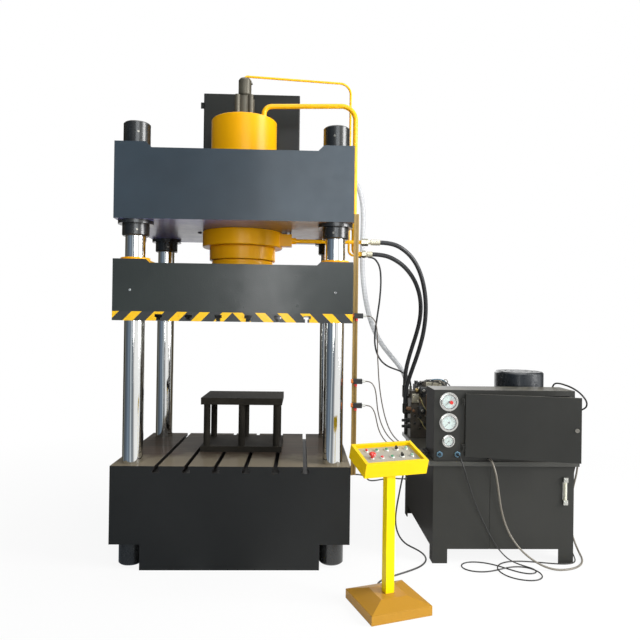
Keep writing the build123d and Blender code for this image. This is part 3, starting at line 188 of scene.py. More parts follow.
def surface(name, colour, rough=0.4, metal=0.0, coat=0.0, spread=0.16, scale=1.3, edge=0.003, dust=0.15,
            dustColour=(120, 116, 104), wornColour=None, grain=0.08, peel=420.0, roughSpread=0.12, specular=0.5):
    colour = srgb(*colour)
    made, tree, shader = newMaterial(name)
    wear = tree.nodes.new("ShaderNodeGroup")
    wear.node_tree = wearGroup
    wear.name = "wear"
    for key, value in (("Scale", scale), ("Edge", edge), ("Dust", dust), ("Grain", grain), ("Peel", peel)):
        wear.inputs[key].default_value = value
    dark = [c * (1 - spread) for c in colour[:3]] + [1.0]
    light = [min(1.0, c * (1 + spread)) for c in colour[:3]] + [1.0]
    base = mixColour(tree, ramp(tree, wear.outputs["Tone"], 0.32, 0.68), dark, light)
    base = mixColour(tree, ramp(tree, wear.outputs["Fine"], 0.25, 0.8, 0.0, 0.35), base, dark)
    bared = srgb(*wornColour) if wornColour else [min(1.0, c * 1.9 + 0.03) for c in colour[:3]] + [1.0]
    base = mixColour(tree, wear.outputs["Worn"], base, bared)
    base = mixColour(tree, wear.outputs["Dusty"], base, srgb(*dustColour))
    tree.links.new(base, shader.inputs["Base Color"])
    half = roughSpread / 2
    tree.links.new(ramp(tree, wear.outputs["Fine"], 0.3, 0.7, rough - half, rough + half), shader.inputs["Roughness"])
    tree.links.new(wear.outputs["Normal"], shader.inputs["Normal"])
    plain = {"Metallic": metal, "Specular IOR Level": specular, "Coat Weight": coat, "Coat Roughness": 0.12}
    for socketName, value in plain.items():
        shader.inputs[socketName].default_value = value
    return made


def overlay(tree, shader, socketName, mask, value):
    # Lays a value over what already feeds a socket, where the mask is 1.
    socket = shader.inputs[socketName]
    old = socket.links[0].from_socket if socket.links else None
    if socketName.endswith("Color"):
        laid = mixColour(tree, mask, old if old else list(socket.default_value), value)
    else:
        made = tree.nodes.new("ShaderNodeMix")
        made.data_type = "FLOAT"
        if old:
            tree.links.new(old, made.inputs[2])
        else:
            made.inputs[2].default_value = socket.default_value
        tree.links.new(mask, made.inputs[0])
        made.inputs[3].default_value = value
        laid = made.outputs[0]
    tree.links.new(laid, socket)


# Finishes: colour as the photograph shows it, and how the surface is worn

finishes = {
    "bedPaint": dict(colour=(30, 31, 31), rough=0.44, coat=0.03, spread=0.14, dust=0.08, peel=150.0, specular=0.22),
    "crownPaint": dict(colour=(46, 57, 66), rough=0.34, coat=0.2, spread=0.28, scale=1.1, grain=0.5, peel=120.0,
        specular=0.35),
    "slidePaint": dict(colour=(38, 43, 41), rough=0.33, coat=0.15, spread=0.22, scale=1.1, grain=0.8, peel=120.0,
        specular=0.4),
    "switchBody": dict(colour=(28, 28, 28), rough=0.38, spread=0.1, scale=12.0, dust=0.1, edge=0.0008),
    "fittingMetal": dict(colour=(176, 172, 154), rough=0.26, metal=1.0, spread=0.15, scale=18.0, dust=0.08,
        edge=0.0008),
    "levelGauge": dict(colour=(200, 200, 194), rough=0.2, metal=1.0, spread=0.06, scale=20.0, dust=0.0, edge=0.0006),
    "lampLens": dict(colour=(150, 190, 166), rough=0.18, coat=0.6, spread=0.05, scale=20.0, dust=0.05, edge=0.0008),
    "columnChrome": dict(colour=(232, 233, 232), rough=0.08, metal=1.0, spread=0.05, dust=0.0, edge=0.001, grain=0.02,
        roughSpread=0.08),
    "nutPaint": dict(colour=(33, 34, 34), rough=0.3, coat=0.35, dust=0.2, grain=0.3, scale=6.0, edge=0.002),
    "cylinderYellow": dict(colour=(252, 178, 0), rough=0.33, coat=0.03, specular=0.22, spread=0.08, dust=0.1,
        dustColour=(150, 120, 60), edge=0.002),
    "pipeYellow": dict(colour=(255, 188, 0), rough=0.32, coat=0.15, specular=0.3, spread=0.06, dust=0.05, edge=0.001),
    "standYellow": dict(colour=(255, 222, 0), rough=0.42, coat=0.03, specular=0.16, spread=0.05, dust=0.12,
        dustColour=(190, 150, 80), edge=0.002),
    "boxYellow": dict(colour=(238, 198, 0), rough=0.42, coat=0.03, specular=0.16, spread=0.05, dust=0.12,
        dustColour=(190, 150, 80), edge=0.002),
    "valveDark": dict(colour=(96, 92, 80), rough=0.36, metal=0.35, spread=0.22, scale=8.0, dust=0.3, edge=0.002),
    "prefillTankPaint": dict(colour=(29, 30, 27), rough=0.42, coat=0.04, specular=0.3, spread=0.22, scale=1.6,
        dust=0.3),
    "riserSteel": dict(colour=(42, 39, 34), rough=0.85, specular=0.12, spread=0.35, scale=5.0, dust=0.25,
        dustColour=(74, 66, 56), wornColour=(120, 112, 100), grain=0.5, edge=0.002),
    "unitPaint": dict(colour=(42, 42, 39), rough=0.42, coat=0.06, specular=0.3, spread=0.14, scale=1.5, dust=0.38,
        dustColour=(158, 152, 132), grain=0.14, edge=0.002),
    "lidPaint": dict(colour=(58, 58, 54), rough=0.38, coat=0.15, specular=0.4, spread=0.14, dust=0.35, edge=0.002),
    "fanPaint": dict(colour=(34, 38, 43), rough=0.3, coat=0.3, spread=0.12, scale=4.0, dust=0.2, edge=0.0015),
    "motorPaint": dict(colour=(40, 46, 58), coat=0.2, spread=0.15, scale=4.0, dust=0.25, edge=0.0015),
    "bareSteel": dict(colour=(150, 146, 138), rough=0.32, metal=1.0, spread=0.18, scale=9.0, dust=0.1, edge=0.001),
    "manifoldSteel": dict(colour=(78, 72, 64), rough=0.5, metal=0.45, spread=0.25, scale=7.0, dust=0.25, edge=0.002),
    "brass": dict(colour=(170, 146, 92), rough=0.32, metal=0.8, spread=0.14, scale=12.0, dust=0.05, edge=0.001),
    "copper": dict(colour=(124, 92, 68), metal=0.6, spread=0.15, scale=14.0, dust=0.05, edge=0.001),
    "zincPlate": dict(colour=(160, 154, 136), rough=0.36, metal=0.6, spread=0.24, scale=18.0, dust=0.35, edge=0.0012),
    "olivePipe": dict(colour=(150, 140, 92), rough=0.34, metal=0.5, spread=0.18, scale=16.0, dust=0.1, edge=0.0006),
    "pumpIron": dict(colour=(74, 74, 74), rough=0.6, metal=0.4, spread=0.2, scale=9.0, grain=0.6),
    "railZinc": dict(colour=(146, 118, 62), rough=0.36, metal=0.35, spread=0.14, scale=5.0, dust=0.05, edge=0.001),
    "gaugeChrome": dict(colour=(206, 206, 202), rough=0.14, metal=1.0, spread=0.05, dust=0.0, edge=0.0008,
        grain=0.02),
    "panelSheet": dict(colour=(166, 161, 148), rough=0.5, metal=0.15, spread=0.05, dust=0.08, edge=0.0008, grain=0.1),
    "blackPlastic": dict(colour=(26, 26, 26), spread=0.1, scale=12.0, edge=0.0008),
    "blueFitting": dict(colour=(84, 118, 138), rough=0.34, metal=0.35, spread=0.15, scale=30.0, dust=0.1,
        edge=0.0006),
    "bezelWhite": dict(colour=(214, 214, 206), rough=0.26, metal=0.4, spread=0.05, scale=20.0, dust=0.1, edge=0.0006),
    "redPlastic": dict(colour=(214, 42, 36), rough=0.22, coat=0.5, spread=0.06, scale=20.0, dust=0.05, edge=0.0008),
    "greenPlastic": dict(colour=(42, 128, 84), rough=0.22, coat=0.5, spread=0.06, scale=20.0, dust=0.05, edge=0.0008),
    "hoseRubber": dict(colour=(38, 39, 41), spread=0.15, scale=6.0, dust=0.2, dustColour=(84, 82, 78), edge=0.0006,
        grain=0.35, specular=0.45),
    "cableBlack": dict(colour=(34, 33, 33), rough=0.38, spread=0.15, scale=14.0, dust=0.25, edge=0.0004,
        specular=0.45),
    "cableGrey": dict(colour=(112, 106, 96), rough=0.42, spread=0.1, scale=14.0, dust=0.2, edge=0.0004),
    "cableBrown": dict(colour=(92, 84, 76), rough=0.42, spread=0.1, scale=14.0, dust=0.1, edge=0.0004),
    "sealBlack": dict(colour=(24, 24, 24), rough=0.5, edge=0.0004),
    "dialFace": dict(colour=(196, 216, 212), rough=0.5, spread=0.03, scale=20.0, dust=0.0, edge=0.0004),
    "inkBlack": dict(colour=(24, 26, 28), rough=0.5, dust=0.0, edge=0.0002),
}
paint = {name: surface(name, **finish) for name, finish in finishes.items()}

# Finishes that change over one CAD node


def inside(name):
    # The node tree of a finish, its shader and the axes of Object space in it.
    tree = paint[name].node_tree
    return tree, next(n for n in tree.nodes if n.type == "BSDF_PRINCIPLED"), objectAxes(tree)


bedLook = {
    "topAbove": 0.6965, "slotFloor": 0.651, "slotTop": 0.6964, "slotEnds": (0.56, 0.5995),
    "milled": (srgb(66, 58, 48), srgb(84, 74, 62)), "stain": srgb(76, 58, 46),
    "frontStrip": srgb(122, 112, 92), "stripFades": (-0.36, -0.2), "slot": srgb(34, 31, 28),
}
tree, shader, axes = inside("bedPaint")
milledPlace = addNode(tree, "Mapping", {"Vector": objectPlace(tree), "Scale": (1.5, 24.0, 1.0)}).outputs[0]
lines = noise(tree, 2.0, 6.0, place=milledPlace)
blots = noise(tree, 3.2, 5.0, 0.62)
milled = mixColour(tree, ramp(tree, lines, 0.3, 0.7), *bedLook["milled"])
milled = mixColour(tree, ramp(tree, blots, 0.42, 0.7, 0.0, 0.8), milled, bedLook["stain"])
depth = math2(tree, "ADD", axes["Y"], ramp(tree, blots, 0.3, 0.7, -0.12, 0.12))
milled = mixColour(tree, ramp(tree, depth, *bedLook["stripFades"], 0.75, 0.0), milled, bedLook["frontStrip"])
onTop = times(tree, isOver(tree, axes["Z"], bedLook["topAbove"]), isOver(tree, faceUp(tree), 0.5))
overlay(tree, shader, "Base Color", onTop, milled)
overlay(tree, shader, "Roughness", onTop, 0.85)
inSlot = times(tree, isOver(tree, axes["Z"], bedLook["slotFloor"]), isUnder(tree, axes["Z"], bedLook["slotTop"]))
for axis, end in zip("XY", bedLook["slotEnds"]):
    inSlot = times(tree, inSlot, isUnder(tree, absolute(tree, axes[axis]), end))
overlay(tree, shader, "Base Color", inSlot, bedLook["slot"])
overlay(tree, shader, "Roughness", inSlot, 0.6)

# Painted reflection on the crown's underside, bluish on the left and brown on the right.
crownReflectionLook = {"left": srgb(98, 98, 142), "right": srgb(112, 84, 64), "change": (0.05, 0.3)}
tree, shader, axes = inside("crownPaint")
paintedReflection = mixColour(tree, ramp(tree, axes["X"], *crownReflectionLook["change"]), crownReflectionLook["left"], crownReflectionLook["right"])
overlay(tree, shader, "Base Color", isUnder(tree, faceUp(tree), -0.5), paintedReflection)

# Hazard stripes along the lower front edge of the slide, mirrored at the middle, and its yellow ears.
slideLook = {
    "stripeTop": 1.734, "pitch": 0.1515, "yellowWidth": 0.068, "slope": 0.97, "middle": -0.004, "front": -0.5995,
    "yellow": srgb(238, 186, 10), "scuffed": srgb(176, 138, 30), "black": srgb(48, 50, 50),
    "earFrom": 0.56, "earAbove": 2.0, "ear": srgb(240, 178, 16),
}
tree, shader, axes = inside("slidePaint")
drop = math2(tree, "SUBTRACT", slideLook["stripeTop"], axes["Z"])
outward = absolute(tree, math2(tree, "SUBTRACT", axes["X"], slideLook["middle"]))
along = math2(tree, "SUBTRACT", outward, times(tree, drop, slideLook["slope"]))
isYellow = isUnder(tree, math2(tree, "FLOORED_MODULO", along, slideLook["pitch"]), slideLook["yellowWidth"])
onBand = times(tree, isOver(tree, drop, 0.0), isUnder(tree, axes["Y"], slideLook["front"]))
scuff = noise(tree, 34.0, 4.0)
yellow = mixColour(tree, ramp(tree, scuff, 0.62, 0.75, 0.0, 0.5), slideLook["yellow"], slideLook["scuffed"])
overlay(tree, shader, "Base Color", onBand, mixColour(tree, isYellow, slideLook["black"], yellow))
overlay(tree, shader, "Roughness", onBand, 0.45)
onEar = times(tree, isOver(tree, faceUp(tree), 0.2), isOver(tree, absolute(tree, axes["X"]), slideLook["earFrom"]))
onEar = times(tree, onEar, isOver(tree, axes["Z"], slideLook["earAbove"]))
overlay(tree, shader, "Base Color", onEar, slideLook["ear"])

# The lens of the first pilot lamp is red.
tree, shader, axes = inside("lampLens")
overlay(tree, shader, "Base Color", isUnder(tree, axes["X"], 0.93), srgb(206, 40, 36))

# Boxes of a CAD node with a finish of their own, and one box of painted shade: low corner, high corner, and what is
# laid there.
darkEnd = {"Base Color": srgb(52, 50, 48), "Metallic": 0.4}
tubeGlass = {"Base Color": srgb(206, 204, 186), "Metallic": 0.0, "Roughness": 0.12}
switchCap = {"Base Color": srgb(206, 40, 34)}
switchHeights = (1.725, 1.269, 1.101)
zones = {
    # Left wall of the enclosure and oil tank, x below 1.4005: a darker colour that is painted shade of the side
    # turned from the light, with a rougher, duller finish.
    "unitPaint": [((1.3, -0.4799, 0.0), (1.4005, 0.7, 1.2149), {"Base Color": srgb(32, 30, 28), "Roughness": 0.9})],
    "switchBody": [
        ((0.8, -0.52, 0.9), (0.8279, -0.45, 1.9), {"Base Color": srgb(226, 120, 30)}),
        ((0.8901, -0.52, 0.9), (0.93, -0.45, 1.9), {"Base Color": srgb(196, 196, 190)}),
        *[((0.83, -0.52, z - 0.04), (0.87, -0.45, z - 0.0181), switchCap) for z in switchHeights],
    ],
    "fittingMetal": [
        ((1.30, 0.30, 0.70), (1.40, 0.50, 1.17), darkEnd),  # hose ends at the manifold
        ((0.42, 0.28, 2.90), (0.47, 0.38, 3.0), darkEnd),  # outlet of the prefill tank
        ((1.36, 0.52, 0.71), (1.42, 0.60, 1.12), darkEnd),  # standpipe
        ((0.94, -0.94, -0.01), (1.0, -0.88, 0.03), darkEnd),  # gland behind the stand's foot
        ((1.34, -0.36, 0.70), (1.402, -0.21, 0.78), darkEnd),  # glands on the enclosure's left
        ((2.398, -0.5, 1.0), (2.45, -0.25, 1.2), darkEnd),
        ((2.398, -0.4, 0.7), (2.45, -0.25, 0.82), darkEnd),
        ((1.77, -0.52, 0.72), (1.81, -0.478, 0.75), darkEnd),
        ((1.42, -0.56, 0.73), (1.60, -0.4785, 0.80), {"Base Color": srgb(44, 56, 64), "Metallic": 0.35}),
        ((0.96, -0.2, 2.15), (1.2, 0.15, 2.35), {"Base Color": srgb(206, 200, 178)}),
    ],
    "levelGauge": [((2.32, -0.56, 0.4499), (2.348, -0.4861, 0.5741), tubeGlass)],
    "standYellow": [((0.5, -1.6, -0.01), (1.5, -0.6, 0.0893), {"Base Color": srgb(180, 132, 44), "Roughness": 0.42})],
}
for name, rows in zones.items():
    tree, shader, _ = inside(name)
    for low, high, laid in rows:
        mask = insideBox(tree, low, high)
        for socketName, value in laid.items():
            overlay(tree, shader, socketName, mask, value)

# Clear ribbed suction hose: translucent wall with a spiral in it.
clearWallLook = {"Roughness": 0.28, "Transmission Weight": 0.35, "IOR": 1.2, "Alpha": 0.82}
ribColours = srgb(176, 178, 182), srgb(214, 216, 216)
paint["clearHoseWall"], tree, shader = newMaterial("clearHoseWall")
for socketName, value in clearWallLook.items():
    shader.inputs[socketName].default_value = value
rib = addNode(tree, "TexWave", {"Vector": objectPlace(tree), "Scale": 26.0}, bands_direction="Z")
tree.links.new(mixColour(tree, ramp(tree, rib.outputs["Fac"], 0.4, 0.75), *ribColours), shader.inputs["Base Color"])

dressing = {
    "bedPaint": ["bed"], "crownPaint": ["crown"], "slidePaint": ["slide"],
    "columnChrome": ["columns", "ram"], "nutPaint": ["column_nuts"],
    "cylinderYellow": ["slide_bushings", "cylinder_barrel", "cylinder_gland", "ram_flange"],
    "pipeYellow": ["pilot_pipe", "pressing_pipe", "return_pipe"],
    "standYellow": ["control_stand"], "boxYellow": ["control_box"], "sealBlack": ["piston_seals"],
    "valveDark": ["prefill_valve"], "prefillTankPaint": ["prefill_tank"], "riserSteel": ["riser_table"],
    "unitPaint": ["oil_tank", "enclosure", "cabinet_door"], "lidPaint": ["tank_lid"],
    "fanPaint": ["fan_cover"], "motorPaint": ["motor_housing"], "bareSteel": ["motor_shaft", "door_lock"],
    "manifoldSteel": ["manifold"], "pumpIron": ["pump"], "railZinc": ["limit_rail"], "gaugeChrome": ["gauge_cases"],
    "panelSheet": ["control_panel"], "bezelWhite": ["button_bezels"], "lampLens": ["pilot_lamps"],
    "blackPlastic": ["solenoid_valves", "selector_back", "selector_front", "pointer_upper", "pointer_middle",
                     "pointer_lower"],
    "redPlastic": ["emergency_stop", "red_button"], "switchBody": ["limit_switches"],
    "greenPlastic": ["green_button_left", "green_button_middle", "green_button_front"],
    "fittingMetal": ["line_fittings"], "levelGauge": ["level_gauge"],
}
for name, members in dressing.items():
    for member in members:
        nodes[member].data.materials.clear()
        nodes[member].data.materials.append(paint[name])
print("stage: materials on the CAD nodes")


# Mesh tools


def meshObject(name, bm, look, body="frame", smooth=40):
    data = bpy.data.meshes.new(name)
    bmesh.ops.recalc_face_normals(bm, faces=bm.faces)
    bm.to_mesh(data)
    bm.free()
    data.materials.append(paint[look])
    made = bpy.data.objects.new(name, data)
    scene.collection.objects.link(made)
    if smooth:
        data.polygons.foreach_set("use_smooth", [True] * len(data.polygons))
        data.set_sharp_from_angle(angle=math.radians(smooth))
    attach(made, body)
    return made


def basis(direction):
    return Vector(direction).normalized().to_track_quat("Z", "Y").to_matrix().to_4x4()


def addRod(bm, start, end, radius, segments=16, endRadius=None):
    start, end = Vector(start), Vector(end)
    place = Matrix.Translation((start + end) / 2) @ basis(end - start)
    radii = {"radius1": radius, "radius2": radius if endRadius is None else endRadius}
    return bmesh.ops.create_cone(bm, cap_ends=True, segments=segments, **radii, depth=(end - start).length,
                                 matrix=place)


def addBlock(bm, low, high, bevel=0.0, turn=None):
    low, high = Vector(low), Vector(high)
    size = high - low
    place = Matrix.Translation((low + high) / 2)
    if turn:
        place = place @ turn
    made = bmesh.ops.create_cube(bm, size=1.0, matrix=place @ Matrix.Diagonal((*size, 1.0)))
    if bevel:
        edges = list({e for v in made["verts"] for e in v.link_edges})
        bmesh.ops.bevel(bm, geom=edges, offset=bevel, segments=2, affect="EDGES", profile=0.5, material=-1)


def addDome(bm, centre, radius, direction=(0, 0, 1), flat=0.5, segments=16):
    place = Matrix.Translation(Vector(centre)) @ basis(direction) @ Matrix.Diagonal((1, 1, flat, 1))
    bmesh.ops.create_uvsphere(bm, u_segments=segments, v_segments=segments // 2, radius=radius, matrix=place)


def tube(name, points, radius, look, body="frame", order=3, resolution=6, ring=4):
    curve = bpy.data.curves.new(name, "CURVE")
    curve.dimensions = "3D"
    curve.bevel_depth = radius
    curve.bevel_resolution = ring
    curve.resolution_u = resolution
    curve.use_fill_caps = True
    spline = curve.splines.new("NURBS")
    spline.points.add(len(points) - 1)
    for point, place in zip(spline.points, points):
        point.co = (*place, 1.0)
    spline.order_u = order
    spline.use_endpoint_u = True
    curve.materials.append(paint[look])
    made = bpy.data.objects.new(name, curve)
    scene.collection.objects.link(made)
    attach(made, body)
    return made


# Screws, rings and hex nuts, for the small trim below


def addScrew(bm, place, direction, radius, height):
    # A round head with a socket sunk in it.
    place, direction = Vector(place), Vector(direction).normalized()
    made = bmesh.ops.create_cone(bm, cap_ends=True, segments=24, radius1=radius, radius2=radius * 0.94, depth=height,
                                 matrix=Matrix.Translation(place + direction * height / 2) @ basis(direction))
    faces = {f for v in made["verts"] for f in v.link_faces if len(f.verts) > 4}
    top = max(faces, key=lambda f: f.calc_center_median().dot(direction))
    bmesh.ops.inset_region(bm, faces=[top], thickness=radius * 0.45, depth=-height * 0.55)


def addNut(bm, start, end, radius):
    # A hexagon with its corners eased, from start to end.
    made = addRod(bm, start, end, radius, 6)
    edges = list({e for v in made["verts"] for e in v.link_edges})
    bmesh.ops.bevel(bm, geom=edges, offset=radius * 0.09, segments=2, affect="EDGES", profile=0.5, material=-1)


def addRing(bm, centre, radius, wire, axis):
    place = Matrix.Translation(Vector(centre)) @ basis(axis)
    place = place @ Matrix.Translation((radius, 0, 0)) @ Matrix.Rotation(math.pi / 2, 4, "X")
    section = bmesh.ops.create_circle(bm, cap_ends=False, segments=14, radius=wire, matrix=place)
    edges = list({e for v in section["verts"] for e in v.link_edges})
    bmesh.ops.spin(bm, geom=section["verts"] + edges, cent=centre, axis=Vector(axis).normalized(), angle=math.tau,
                   steps=36, use_merge=True)


# Hoses and cables. The points are those of the CAD routes, in metres.

